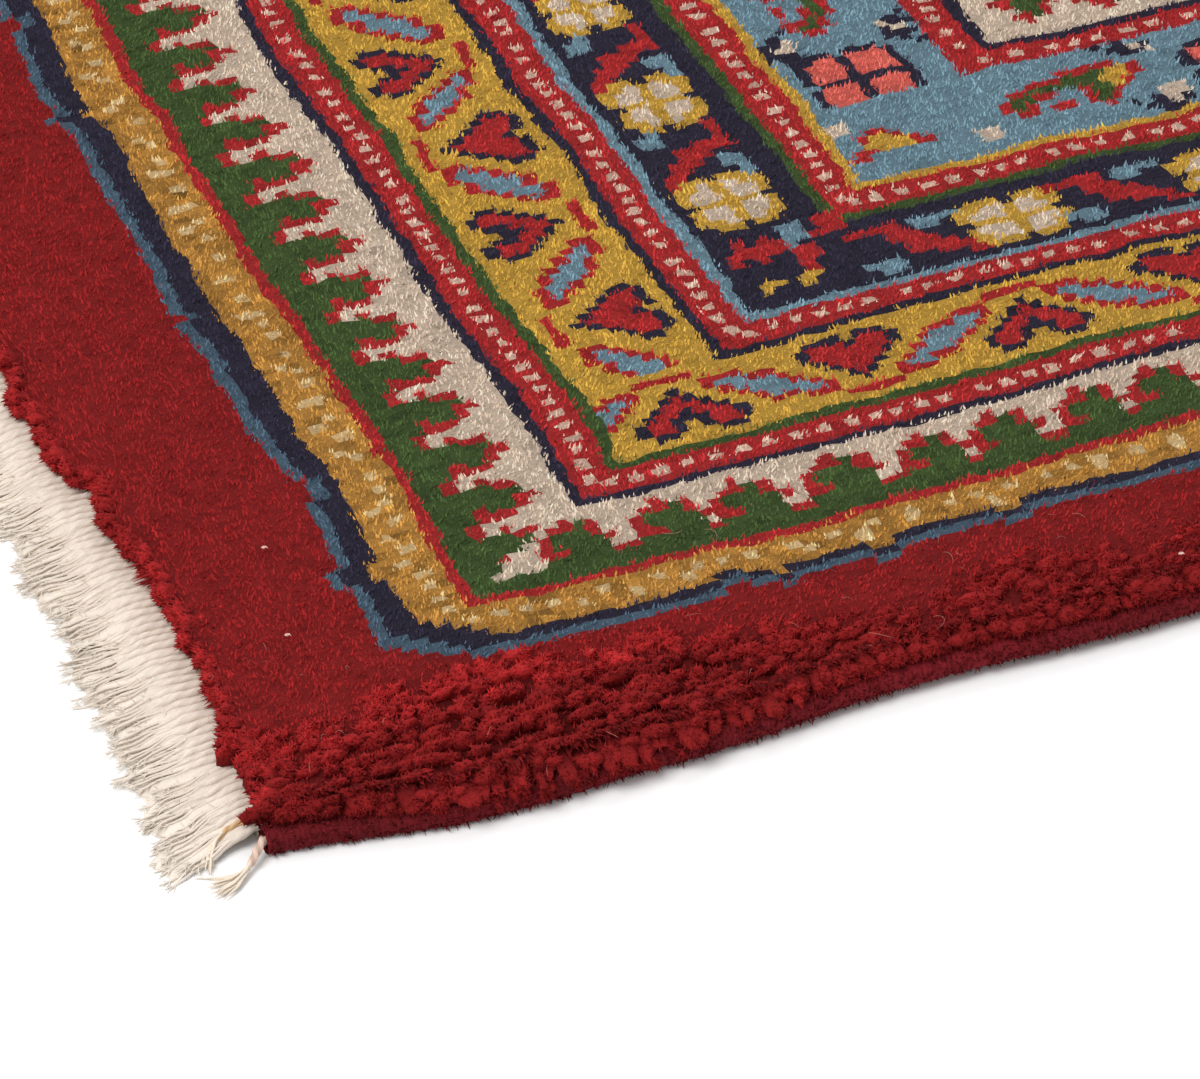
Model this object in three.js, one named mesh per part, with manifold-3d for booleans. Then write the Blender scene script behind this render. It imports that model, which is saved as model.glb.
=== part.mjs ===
// Persian rug with a plush knotted pile, two overcast side selvedges and a fringe at each end.
// It lies flat, in millimetres with +Z up. X runs along the warps and Y along the rows of knots.
// The origin is on the floor under the middle of the rug.

import * as THREE from "three";
import { mergeVertices } from "three/addons/utils/BufferGeometryUtils.js";
import Module from "manifold-3d";

const wasm = await Module();
wasm.setup();

// Driving sizes
const KNOT_PITCH = 2.64; // from one knot to the next in a row
const ROW_PITCH = 3.3; // from one row of knots to the next
const KNOTS = 374; // knots in a row
const ROWS = 454; // rows from end to end
const PILE_TOP = 12; // level top of the pile above the floor
const GAP = 0.3; // between neighbouring pieces
const SELVEDGE = { width: 6.4, height: 5.6, bevel: 1.2 };
const END_STRIP = { width: 4.5, height: 2.8 };
const FRINGE = { locks: 150, length: 17, uneven: 2, rootWidth: 5.2, tipWidth: 3.2, height: 2.3, sway: 1.3 };

const LENGTH = ROWS * ROW_PITCH;
const WIDTH = KNOTS * KNOT_PITCH;

// Side and top of the pile, from its foot outwards, over the rim and in to the level middle.
// inset is measured in from the edge of the cloth, so the pile leans out where it is negative.
const RIM = [
  { inset: 0, z: 1.0 },
  { inset: 0, z: 6.6 },
  { inset: -2.2, z: 8.0 },
  { inset: -1.6, z: 9.8 },
  { inset: 1.6, z: 11.0 },
  { inset: 6, z: 11.6 },
  { inset: 14, z: PILE_TOP },
];

// Underside, from the level middle out to the foot of the pile.
const UNDERSIDE = [
  { inset: 45, z: 0 },
  { inset: 7, z: 0 },
];

const MIDDLE_INSET = RIM[RIM.length - 1].inset;
const GRID_STEP = 30; // spacing of the points on the level top
const CORNER_STEP = 9; // first step of that grid beside a corner
const CORNER_ROUNDING = 0.72; // share of the rim that is left at the very corner

// Slow waves in the long edges, in the ends and in the height of the pile
const EDGE_WAVES = [
  { size: 0.8, length: 430, start: 60 },
  { size: 0.45, length: 171, start: 25 },
];
const PILE_WAVES = [
  { size: 0.35, alongX: 390, alongY: 610, start: 90 },
  { size: 0.25, alongX: -215, alongY: 260, start: 30 },
];

// Stretches where a long edge stands a little off the floor: side is -1 at the front and 1 at the back
const LIFTS = [
  { side: -1, middle: -565, reach: 150, size: 1.5 },
  { side: -1, middle: 140, reach: 210, size: 1.0 },
  { side: 1, middle: -250, reach: 190, size: 1.1 },
  { side: 1, middle: 430, reach: 170, size: 1.4 },
];

// Stretches where a long edge swells outwards
const FLARES = [
  { side: -1, middle: -706, reach: 50, size: 5.0 },
  { side: -1, middle: -655, reach: 80, size: 6.6 },
  { side: -1, middle: -530, reach: 95, size: 4.2 },
  { side: -1, middle: -180, reach: 130, size: 2.4 },
  { side: -1, middle: 350, reach: 160, size: 3.2 },
  { side: 1, middle: -470, reach: 140, size: 2.8 },
  { side: 1, middle: 110, reach: 170, size: 3.4 },
  { side: 1, middle: 610, reach: 90, size: 2.2 },
];
const EDGE_REACH = 45; // how far in from the edge a lift or a flare is felt

function wave(distance, waves) {
  return waves.reduce((sum, w) => sum + w.size * Math.sin((2 * Math.PI * (distance + w.start)) / w.length), 0);
}

// Drift of the warps towards +Y at x, and of the rows towards +X at y
const warpDrift = (x) => wave(x, EDGE_WAVES);
const rowDrift = (y) => wave(1.37 * y + 210, EDGE_WAVES);

function pileSwell(x, y) {
  const phase = (w) => 2 * Math.PI * (x / w.alongX + y / w.alongY) + w.start;
  return PILE_WAVES.reduce((sum, w) => sum + w.size * Math.sin(phase(w)), 0);
}

// What a list of lifts or flares amounts to at x, at an inset from the long edge of the given side
function shift(list, side, x, inset) {
  const fade = Math.max(0, 1 - Math.max(0, inset) / EDGE_REACH) ** 2;
  const near = list.filter((row) => row.side === side && Math.abs(x - row.middle) < row.reach);
  return near.reduce((sum, row) => {
    const bump = Math.cos((Math.PI / 2) * ((x - row.middle) / row.reach)) ** 2;
    return sum + row.size * bump * fade;
  }, 0);
}

// Stations along one side of the top grid: short steps beside the corners, even ones between
function stations(size) {
  const half = size / 2 - MIDDLE_INSET;
  const inner = half - CORNER_STEP;
  const count = Math.round((2 * inner) / GRID_STEP);
  const even = Array.from({ length: count + 1 }, (_, i) => -inner + (2 * inner * i) / count);
  return [-half, ...even, half];
}

// How much the grid's border grows to reach another inset, as a share of its size
const growth = (size, inset) => (size / 2 - inset) / (size / 2 - MIDDLE_INSET) - 1;
const edgeStations = (size) => stations(size).map((along) => along * (1 + growth(size, 0)));

function meshFrom(points, triangles) {
  const geometry = new THREE.BufferGeometry();
  geometry.setAttribute("position", new THREE.Float32BufferAttribute(points.flat(), 3));
  geometry.setIndex(triangles.flat());
  return geometry;
}

// The knotted cloth: a grid of points over the level top, with its border points repeated in rings
// that run out over the rim, down the side of the pile and in under the cloth.
function rugBody() {
  const xs = stations(LENGTH);
  const ys = stations(WIDTH);
  const lastX = xs.length - 1;
  const lastY = ys.length - 1;
  const points = [];
  const triangles = [];

  const place = (x, y, z) => {
    const fromFront = y + WIDTH / 2;
    const fromBack = WIDTH / 2 - y;
    const raised = z + shift(LIFTS, -1, x, fromFront) + shift(LIFTS, 1, x, fromBack);
    const aside = shift(FLARES, 1, x, fromBack) - shift(FLARES, -1, x, fromFront);
    points.push([x + rowDrift(y), y + warpDrift(x) + aside, raised]);
    return points.length - 1;
  };
  const quad = (a, b, c, d) => triangles.push([a, b, c], [a, c, d]);

  const grid = xs.map((x) => ys.map((y) => place(x, y, PILE_TOP + pileSwell(x, y))));
  for (let i = 0; i < lastX; i++) {
    for (let j = 0; j < lastY; j++) {
      quad(grid[i][j], grid[i + 1][j], grid[i + 1][j + 1], grid[i][j + 1]);
    }
  }

  // Border of the grid, anticlockwise from above, as [column, row] pairs
  const border = [];
  for (let i = 0; i < lastX; i++) border.push([i, 0]);
  for (let j = 0; j < lastY; j++) border.push([lastX, j]);
  for (let i = lastX; i > 0; i--) border.push([i, lastY]);
  for (let j = lastY; j > 0; j--) border.push([0, j]);

  // Each ring is the border grown or shrunk to its inset, with rounded corners
  const ringAt = (row) => border.map(([i, j]) => {
    const corner = (i === 0 || i === lastX) && (j === 0 || j === lastY);
    const share = corner && row.inset < MIDDLE_INSET ? CORNER_ROUNDING : 1;
    const x = xs[i] * (1 + growth(LENGTH, row.inset) * share);
    const y = ys[j] * (1 + growth(WIDTH, row.inset) * share);
    return place(x, y, row.z);
  });
  const join = (inner, outer) => inner.forEach((point, k) => {
    const next = (k + 1) % inner.length;
    quad(point, outer[k], outer[next], inner[next]);
  });

  let ring = border.map(([i, j]) => grid[i][j]);
  for (const row of [...RIM.slice(0, -1).reverse(), ...UNDERSIDE.slice().reverse()]) {
    const outer = ringAt(row);
    join(ring, outer);
    ring = outer;
  }

  // The level underside closes the last ring
  const outline = ring.map((p) => new THREE.Vector2(points[p][0], points[p][1]));
  for (const [a, b, c] of THREE.ShapeUtils.triangulateShape(outline, [])) {
    triangles.push([ring[a], ring[c], ring[b]]);
  }
  return meshFrom(points, triangles);
}

// A tube of like sections, closed at both ends. Each section runs the same way round its points.
function loft(sections) {
  const count = sections[0].length;
  const points = sections.flat();
  const triangles = [];
  for (let s = 0; s < sections.length - 1; s++) {
    for (let k = 0; k < count; k++) {
      const a = s * count + k;
      const b = s * count + ((k + 1) % count);
      triangles.push([a, b, b + count], [a, b + count, a + count]);
    }
  }
  const last = points.length - count;
  for (let k = 1; k < count - 1; k++) {
    triangles.push([0, k + 1, k], [last, last + k, last + k + 1]);
  }
  return meshFrom(points, triangles);
}

// Overcast side cord: eight-sided, flat underneath, along one long edge of the cloth
function selvedge(side) {
  const halfWidth = SELVEDGE.width / 2;
  const middle = WIDTH / 2 + GAP + halfWidth;
  const bevel = SELVEDGE.bevel;
  const top = SELVEDGE.height;
  const outline = [
    [-halfWidth + bevel, 0],
    [halfWidth - bevel, 0],
    [halfWidth, bevel],
    [halfWidth, top - 2 * bevel],
    [halfWidth - 1.5 * bevel, top],
    [-halfWidth + 1.5 * bevel, top],
    [-halfWidth, top - 2 * bevel],
    [-halfWidth, bevel],
  ];
  const sections = edgeStations(LENGTH).map((x) => {
    const centre = side * (middle + shift(FLARES, side, x, 0)) + warpDrift(x);
    const raised = shift(LIFTS, side, x, 0);
    return outline.map(([across, up]) => [x + rowDrift(side * middle), centre + across, up + raised]);
  });
  return loft(sections);
}

function solid(geometry) {
  geometry.deleteAttribute("normal");
  geometry.deleteAttribute("uv");
  const merged = mergeVertices(geometry, 1e-4);
  return new wasm.Manifold(new wasm.Mesh({
    numProp: 3,
    vertProperties: merged.attributes.position.array,
    triVerts: Uint32Array.from(merged.index.array),
  }));
}

function geometryOf(shape) {
  const mesh = shape.getMesh();
  const geometry = new THREE.BufferGeometry();
  geometry.setAttribute("position", new THREE.BufferAttribute(mesh.vertProperties, 3));
  geometry.setIndex(new THREE.BufferAttribute(mesh.triVerts, 1));
  return geometry;
}

// End finish: a flat-woven strip beside the last row, with three-sided locks lying level on the floor
function fringe(end) {
  const inner = LENGTH / 2 + GAP;
  const outer = inner + END_STRIP.width;
  const drift = warpDrift(end * inner);
  const at = (distance, y, z) => [end * distance + rowDrift(y), y + drift, z];

  // Sections run the other way round at the far end, so that the faces point out at both
  const facing = (section) => (end > 0 ? section : section.slice().reverse());
  const strip = loft(edgeStations(WIDTH).map((y) => facing([
    at(inner, y, 0),
    at(inner, y, END_STRIP.height),
    at(outer, y, END_STRIP.height),
    at(outer, y, 0),
  ])));

  const pitch = WIDTH / FRINGE.locks;
  const root = outer - END_STRIP.width / 2;
  const locks = Array.from({ length: FRINGE.locks }, (_, k) => {
    const y = -WIDTH / 2 + pitch * (k + 0.5);
    const length = FRINGE.length + FRINGE.uneven * Math.sin(2.4 * k) * Math.sin(0.37 * k + end);
    const sway = FRINGE.sway * Math.sin(1.1 * k + 0.23 * k * Math.sin(k) * end);
    const stages = [
      { reach: root, aside: 0, width: FRINGE.rootWidth, height: FRINGE.height },
      { reach: outer + length / 2, aside: sway / 2, width: FRINGE.rootWidth, height: FRINGE.height },
      { reach: outer + length, aside: sway / 3, width: FRINGE.tipWidth, height: FRINGE.height / 2 },
    ];
    return solid(loft(stages.map((stage) => facing([
      at(stage.reach, y + stage.aside - stage.width / 2, 0),
      at(stage.reach, y + stage.aside + stage.width / 2, 0),
      at(stage.reach, y + stage.aside, stage.height),
    ]))));
  });
  return geometryOf(wasm.Manifold.union([solid(strip), ...locks]));
}

const wool = (color) => new THREE.MeshStandardMaterial({ color, roughness: 0.95, metalness: 0 });
const cotton = () => new THREE.MeshStandardMaterial({ color: 0xe0d8cc, roughness: 0.9, metalness: 0 });

function piece(name, geometry, material) {
  geometry.computeVertexNormals();
  const mesh = new THREE.Mesh(geometry, material);
  mesh.name = name;
  return mesh;
}

const rug = new THREE.Group();
rug.add(piece("rug_body", rugBody(), wool(0x9c2226)));
rug.add(piece("selvedge_front", selvedge(-1), wool(0x6e1a22)));
rug.add(piece("selvedge_back", selvedge(1), wool(0x6e1a22)));
rug.add(piece("fringe_left", fringe(-1), cotton()));
rug.add(piece("fringe_right", fringe(1), cotton()));

export default rug;
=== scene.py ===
"""Looks of a persian rug: a plush knotted pile over a woven foundation, overcast sides and plied fringes.

Everything is in metres, in the part's own frame. X runs along the warps, Y along the rows of knots.
The pile is coloured knot by knot from charts of the border motifs. Near the corner that the camera
sees it is built of single tufts of wool, and elsewhere of one small facet for each knot. Along the
front edge there it parts into soft lobes, which flop over the overcast side.
"""

import math

import bpy
import numpy as np
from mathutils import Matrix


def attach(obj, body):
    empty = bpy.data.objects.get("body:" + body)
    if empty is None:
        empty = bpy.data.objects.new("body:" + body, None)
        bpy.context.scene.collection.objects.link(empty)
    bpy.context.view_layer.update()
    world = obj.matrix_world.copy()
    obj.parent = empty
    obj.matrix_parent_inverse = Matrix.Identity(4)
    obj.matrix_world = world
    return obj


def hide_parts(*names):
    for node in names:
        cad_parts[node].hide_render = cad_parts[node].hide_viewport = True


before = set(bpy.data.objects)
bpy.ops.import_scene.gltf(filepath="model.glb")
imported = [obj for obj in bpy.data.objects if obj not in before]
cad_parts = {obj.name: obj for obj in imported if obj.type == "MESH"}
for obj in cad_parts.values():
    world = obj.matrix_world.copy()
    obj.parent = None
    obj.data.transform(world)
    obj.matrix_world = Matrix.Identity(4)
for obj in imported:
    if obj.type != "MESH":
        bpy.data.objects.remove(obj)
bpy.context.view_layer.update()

# Driving sizes, the same as in the part's source
MM = 0.001
KNOT_PITCH = 2.64 * MM
ROW_PITCH = 3.3 * MM
KNOTS = 374
ROWS = 454
PILE_TOP = 12 * MM
FOUNDATION = 3 * MM
GAP = 0.3 * MM
SELVEDGE_WIDTH = 6.4 * MM
SELVEDGE_HEIGHT = 5.6 * MM
STRIP_WIDTH = 4.5 * MM
FRINGE_LENGTH = 17 * MM

LENGTH = ROWS * ROW_PITCH
WIDTH = KNOTS * KNOT_PITCH
LEFT, RIGHT = -LENGTH / 2, LENGTH / 2
FRONT = -WIDTH / 2

# Slow waves: size, length and start
EDGE_WAVES = ((0.8 * MM, 430 * MM, 60 * MM), (0.45 * MM, 171 * MM, 25 * MM))
# Waves in the height of the pile: size, length along X, length along Y and starting angle
PILE_WAVES = ((0.35 * MM, 390 * MM, 610 * MM, 90), (0.25 * MM, -215 * MM, 260 * MM, 30))
# Stretches of a long edge that stand off the floor, and that swell outwards: side, middle, reach and size
LIFTS = (
    (-1, -565 * MM, 150 * MM, 1.5 * MM),
    (-1, 140 * MM, 210 * MM, 1.0 * MM),
    (1, -250 * MM, 190 * MM, 1.1 * MM),
    (1, 430 * MM, 170 * MM, 1.4 * MM),
)
FLARES = (
    (-1, -706 * MM, 50 * MM, 5.0 * MM),
    (-1, -655 * MM, 80 * MM, 6.6 * MM),
    (-1, -530 * MM, 95 * MM, 4.2 * MM),
    (-1, -180 * MM, 130 * MM, 2.4 * MM),
    (-1, 350 * MM, 160 * MM, 3.2 * MM),
    (1, -470 * MM, 140 * MM, 2.8 * MM),
    (1, 110 * MM, 170 * MM, 3.4 * MM),
    (1, 610 * MM, 90 * MM, 2.2 * MM),
)
EDGE_REACH = 45 * MM  # how far in from an edge these fade out
FULL_TURN = 6.3  # radians, over which random angles are drawn

# Top of the pile near an edge: inset from the edge and height
RIM_INSET = np.array((0, 1.6, 6, 14)) * MM
RIM_HEIGHT = np.array((10.2, 11.0, 11.6, 12.0)) * MM


def wave(distance):
    return sum(size * np.sin(2 * np.pi * (distance + start) / length) for size, length, start in EDGE_WAVES)


def warp_drift(x):
    return wave(x)


def row_drift(y):
    return wave(1.37 * y + 210 * MM)


def edge_shift(stretches, side, x, y):
    """What the lifts or flares of one long edge amount to at a point of the cloth."""
    fade = np.maximum(0, 1 - np.maximum(0, WIDTH / 2 - side * y) / EDGE_REACH) ** 2
    total = 0.0
    for row_side, middle, reach, size in stretches:
        if row_side == side:
            share = np.clip((x - middle) / reach, -1, 1)
            total = total + size * np.cos(np.pi / 2 * share) ** 2 * fade
    return total


def on_cloth(x, y, z):
    """A point of the straight, level cloth, moved to where the real cloth lies."""
    aside = edge_shift(FLARES, 1, x, y) - edge_shift(FLARES, -1, x, y)
    raised = edge_shift(LIFTS, 1, x, y) + edge_shift(LIFTS, -1, x, y)
    along, across = knot_drift(x, y)
    return np.stack([x + row_drift(y) + along, y + warp_drift(x) + aside + across, z + raised], -1)


def end_inset(x):
    return LENGTH / 2 - np.abs(x)


def side_inset(y):
    return WIDTH / 2 - np.abs(y)


def knot_drift(x, y):
    """The lines of the design waver, because knots are packed closer here and looser there."""
    inside = np.clip(np.minimum(end_inset(x), side_inset(y)) / (30 * MM), 0, 1)
    along = layered_noise(x, y, (1.3 * MM, 26 * MM, 101), (0.9 * MM, 11 * MM, 102))
    across = layered_noise(x, y, (1.0 * MM, 26 * MM, 103), (0.7 * MM, 11 * MM, 104))
    return inside * along, inside * across


# How far in the pile starts at the end that is seen: distance from the front edge in millimetres, and inset
PILE_STARTS_AT = (0, 10, 20, 40, 125, 148, 170)
PILE_STARTS_IN = np.array((1.8, 4.6, 7.8, 5.6, 5.8, 0.8, 2.0)) * MM


def drawn_in(x, y):
    """The ends of the pile step in and out by a knot or so from the woven strip."""
    step = np.clip(1.8 * line_noise(y, 8 * MM, 45), -1, 1)
    fade = np.clip(1 - end_inset(x) / (30 * MM), 0, 1)
    inset = np.where(x < 0, profile(y - FRONT, PILE_STARTS_AT, PILE_STARTS_IN), 2.0 * MM)
    return x - np.sign(x) * (inset + 1.8 * MM * step) * fade


def cell_value(i, j, seed):
    """A fixed value from -1 to 1 for each cell of a lattice."""
    mixed = (i * 73856093) ^ (j * 19349663) ^ (seed * 83492791)
    mixed = (mixed ^ (mixed >> 13)) * 1274126177 & 0x7FFFFFFF
    return (mixed ^ (mixed >> 16)) % 65536 / 32767.5 - 1


def lattice_noise(x, y, size, seed):
    """Smooth noise from -1 to 1, whose features have about the given size."""
    u, v = x / size + 4096.0, y / size + 4096.0
    i, j = np.floor(u).astype(np.int64), np.floor(v).astype(np.int64)
    fu, fv = u - i, v - j
    fu, fv = fu * fu * (3 - 2 * fu), fv * fv * (3 - 2 * fv)
    low = cell_value(i, j, seed) * (1 - fu) + cell_value(i + 1, j, seed) * fu
    high = cell_value(i, j + 1, seed) * (1 - fu) + cell_value(i + 1, j + 1, seed) * fu
    return low * (1 - fv) + high * fv


def line_noise(x, size, seed):
    """The same along a line."""
    return lattice_noise(x, 0 * x, size, seed)


def layered_noise(x, y, *layers):
    """Noise of several sizes together. A layer is its strength, the size of its features and a seed."""
    return sum(strength * lattice_noise(x, y, size, seed) for strength, size, seed in layers)


def profile(distance, marks, values):
    """Straight stretches between the values at some marks, which are in millimetres."""
    return np.interp(distance, np.array(marks) * MM, values)


def cloth_place(row, knot):
    """Where a line between rows and a line between knots cross on the straight cloth."""
    return LEFT + row * ROW_PITCH, FRONT + knot * KNOT_PITCH


def knot_at(x, y, rows=ROWS, knots=KNOTS):
    """The row and the knot at a place, kept within the first of them."""
    row = np.clip(((x - LEFT) / ROW_PITCH).astype(int), 0, rows - 1)
    knot = np.clip(((y - FRONT) / KNOT_PITCH).astype(int), 0, knots - 1)
    return row, knot


def keep_above(points, height):
    """Lifts the points that are lower than a height."""
    points[..., 2] = np.maximum(points[..., 2], height)


def around(sides):
    """Angles of evenly spread sides."""
    return np.arange(sides) * 2 * np.pi / sides


def lattice(rows, columns):
    """The row and the column of each place of a lattice."""
    return np.meshgrid(rows, columns, indexing="ij")


# The camera. Its place is measured from the corner of the rug that it looks at.
PHOTO_WIDTH, PHOTO_HEIGHT = 1200, 1079
FOCAL_PIXELS = 6000
SENSOR = 36
CAMERA_FROM_CORNER = np.array((-316.8, -947.9)) * MM
CAMERA_ABOVE_PILE = 855.3 * MM
CAMERA_PITCH = math.radians(37.98)
CAMERA_HEADING = math.radians(22.69)
SEEN_CORNER = np.array((LEFT, FRONT - GAP - SELVEDGE_WIDTH))


def make_camera():
    data = bpy.data.cameras.new("camera")
    data.sensor_width = SENSOR
    data.lens = FOCAL_PIXELS / PHOTO_WIDTH * SENSOR
    data.clip_start, data.clip_end = 0.05, 50
    camera = bpy.data.objects.new("camera", data)
    place = SEEN_CORNER + CAMERA_FROM_CORNER
    camera.location = (*place, PILE_TOP + CAMERA_ABOVE_PILE)
    camera.rotation_euler = (math.pi / 2 - CAMERA_PITCH, 0, -CAMERA_HEADING)
    bpy.context.scene.collection.objects.link(camera)
    bpy.context.scene.camera = camera


def frame_place(points):
    """Where points fall in the picture, as shares of its width and height from the middle."""
    eye = np.array((*(SEEN_CORNER + CAMERA_FROM_CORNER), PILE_TOP + CAMERA_ABOVE_PILE))
    c, s = math.cos(CAMERA_HEADING), math.sin(CAMERA_HEADING)
    cp, sp = math.cos(CAMERA_PITCH), math.sin(CAMERA_PITCH)
    right, ahead = np.array((c, -s, 0)), np.array((s * cp, c * cp, -sp))
    above = np.cross(right, ahead)
    ray = points - eye
    depth = ray @ ahead
    scale = FOCAL_PIXELS / depth
    return ray @ right * scale / PHOTO_WIDTH, ray @ above * scale / PHOTO_HEIGHT


# Dyes of the wool, as screen colours
DYES = {
    "M": (143, 30, 31),  # crimson of the margin and the field
    "R": (178, 45, 46),  # red of the motifs
    "N": (47, 43, 60),  # navy
    "S": (78, 99, 116),  # slate blue
    "B": (116, 146, 160),  # light blue
    "Y": (204, 160, 66),  # yellow
    "O": (186, 134, 62),  # gold
    "C": (217, 195, 174),  # cream
    "D": (226, 188, 168),  # pale dots on the red stripes
    "E": (222, 190, 138),  # pale dots on gold
    "G": (68, 88, 46),  # green
    "K": (228, 106, 94),  # coral
}


def linear(screen):
    share = np.asarray(screen, float) / 255
    return np.where(share <= 0.04045, share / 12.92, ((share + 0.055) / 1.055) ** 2.4)


# Charts of the motifs. The top row is the inner one, a full stop leaves the ground, and a letter is a dye.
MERLON = (
    "...R...",
    "..RRGR.",
    ".RGGGR.",
    ".RGGGGR",
    ".RRGGG.",
    "RGGGGGR",
    "GGGGGGG",
    "GGGGGGG",
)
HEART = (
    "..RRRRR..",
    ".........",
    "....N....",
    "...NRN...",
    "..NRRRN..",
    ".NRRNRRN.",
    "NRRNNNRRN",
    "NRRN.NRRN",
    ".NN...NN.",
)
FULL_HEART = (
    ".NNN.NNN.",
    "NRRRNRRRN",
    "NRRRRRRRN",
    ".NRRRRRN.",
    "..NRRRN..",
    "...NRN...",
    "....N....",
    ".........",
    "..RRRRR..",
)
BAR = (
    "RRR......",
    "RBBRR....",
    ".RBBBR...",
    "..RBBBR..",
    "...RBBBR.",
    "....RRBBR",
    "......RRR",
)
ROSETTE = (
    ".YYY.YYY.",
    "YYCCYCCYY",
    "YCCCYCCCY",
    ".YYYYYYY.",
    "YCCCYCCCY",
    "YYCCYCCYY",
    ".YYY.YYY.",
)
LEAF = (
    "BBBB.RRRRR",
    "..BB.RR...",
    "....RRR...",
    "...RRR....",
    "..RRRR....",
    ".RRR...BBB",
    "RR.....BB.",
)
CORAL_ROSETTE = (
    ".NNNNNNNNN.",
    "NKKKKNKKKKN",
    "NKKKKNKKKKN",
    "NKKKKNKKKKN",
    ".NNNNNNNNN.",
    "NKKKKNKKKKN",
    "NKKKKNKKKKN",
    "NKKKKNKKKKN",
    ".NNNN.NNNN.",
)
GARDEN_LEAF = (
    "......RRRRR..",
    "...RRRGGGGYYR",
    ".RRGGGGGGYYYR",
    "RGGRRBBRGGYR.",
    "RGRBBBBRGGR..",
    ".RR.RR.RGR...",
    "........R....",
)
VINE = (
    "N.N..",
    ".NN.N",
    "..NN.",
)
STAR = (
    ".R...",
    ".RR..",
    ".YYR.",
    ".YYYR",
    ".YYYR",
    ".RYR.",
    "RR...",
    "R....",
)
CORNER_TWIG = (
    "........RRR",
    "........RRR",
    "........R..",
    ".....RR.BBB",
    "..YRRRRBBBB",
    ".YY....RR..",
    ".......RRR.",
    "..Y...RRR..",
    ".YY....RRR.",
    "......RR...",
)
FIELD_FLOWER = (
    "...N...",
    "..NYN..",
    ".NYCYN.",
    "NYCRCYN",
    ".NYCYN.",
    "..NYN..",
    "...N...",
)
FIELD_SPRIG = (
    "..G..",
    ".GBG.",
    "GBCBG",
    ".GBG.",
    "..G..",
)


def stamp(cells, chart, along, deep, flip=False, mirror=False):
    """Puts a chart on a stretch of knots, with its middle at along and deep.

    Row 0 of the cells is the outer one.
    """
    motif = np.array([[ord(c) for c in row] for row in reversed(chart)], np.uint8)
    motif = motif[::-1] if flip else motif
    motif = motif[:, ::-1] if mirror else motif
    first = (int(round(deep - motif.shape[0] / 2)), int(round(along - motif.shape[1] / 2)))
    for (i, j), dye in np.ndenumerate(motif):
        row, column = first[0] + i, first[1] + j
        if dye != ord(".") and 0 <= row < cells.shape[0] and 0 <= column < cells.shape[1]:
            cells[row, column] = dye


def paint_dots(cells, start, steps=(2, 2, 2, 2, 3), dye="D"):
    """Single pale knots down the middle of a stripe, counted a little unevenly."""
    middle = cells.shape[0] // 2
    strides = np.random.default_rng(start + 3).choice(steps, cells.shape[1])
    places = start + np.cumsum(strides)
    cells[middle, places[places < cells.shape[1]]] = ord(dye)


def paint_wide_dots(cells, start):
    paint_dots(cells, start, (2, 3, 3, 4), "E")
    paint_dots(cells[:3], start + 5, (4, 6, 9), "E")


def repeats(cells, start, step):
    """Middles of a motif that is repeated along a band, counted as evenly as whole knots allow."""
    count = int((cells.shape[1] - start) / step) + 2
    return [start + int(round(number * step)) for number in range(count)]


def paint_merlons(cells, start, step, flip=False):
    """Green merlons that stand on the outer side of a band, or hang from its inner side."""
    base = slice(-2, None) if flip else slice(0, 2)
    cells[base] = ord("G")
    half = len(MERLON) / 2
    middle = cells.shape[0] - half if flip else half
    for along in repeats(cells, start, step):
        stamp(cells, MERLON, along + 0.5, middle, flip=flip)


def paint_inner_merlons(cells, start, step):
    paint_merlons(cells, start, step, flip=True)


def paint_hearts(cells, start, step, turned=0):
    """Hearts that point in and out by turns, with blue bars on the slant between them."""
    for count, along in enumerate(repeats(cells, start, step)):
        pointing_out = (count + turned) % 2 == 1
        stamp(cells, FULL_HEART if pointing_out else HEART, along + 0.5, 5.5)
        stamp(cells, BAR, along + step / 2 + 0.5, 5.5, mirror=pointing_out)
        if count == 0:
            stamp(cells, BAR, along - step / 2 + 0.5, 5.5, mirror=not pointing_out)


def paint_turned_hearts(cells, start, step):
    paint_hearts(cells, start, step, turned=1)


def paint_rosettes(cells, start, step, turned=False):
    """Cream rosettes with red leaves and blue flecks between them."""
    for count, along in enumerate(repeats(cells, start, step)):
        stamp(cells, ROSETTE, along + 0.5, 4.5)
        stamp(cells, LEAF, along + step / 2, 4.5, mirror=turned)
        if count == 0 and turned:
            stamp(cells, LEAF, along - step / 2 + 1, 4.5, mirror=True)


def paint_turned_rosettes(cells, start, step):
    paint_rosettes(cells, start, step, turned=True)


def paint_garden(cells, start, step):
    """Coral rosettes and green leaves by turns, with vines and cream dots between them."""
    for count, along in enumerate(repeats(cells, start, step)):
        chart = CORAL_ROSETTE if count % 2 == 0 else GARDEN_LEAF
        stamp(cells, chart, along + 0.5, 5.5)
        for side in (-1, 1):
            for deep in (2, 11):
                stamp(cells, ("CC", "CC"), along + side * 7, deep)
                stamp(cells, VINE, along + side * 9, deep, mirror=side > 0)


def paint_garden_from_leaf(cells, start, step):
    paint_garden(cells, start + step, step)
    stamp(cells, GARDEN_LEAF, start + 0.5, 6.5)
    for side in (-1, 1):
        stamp(cells, ("CC", "CC"), start + side * 8, 3)


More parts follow.
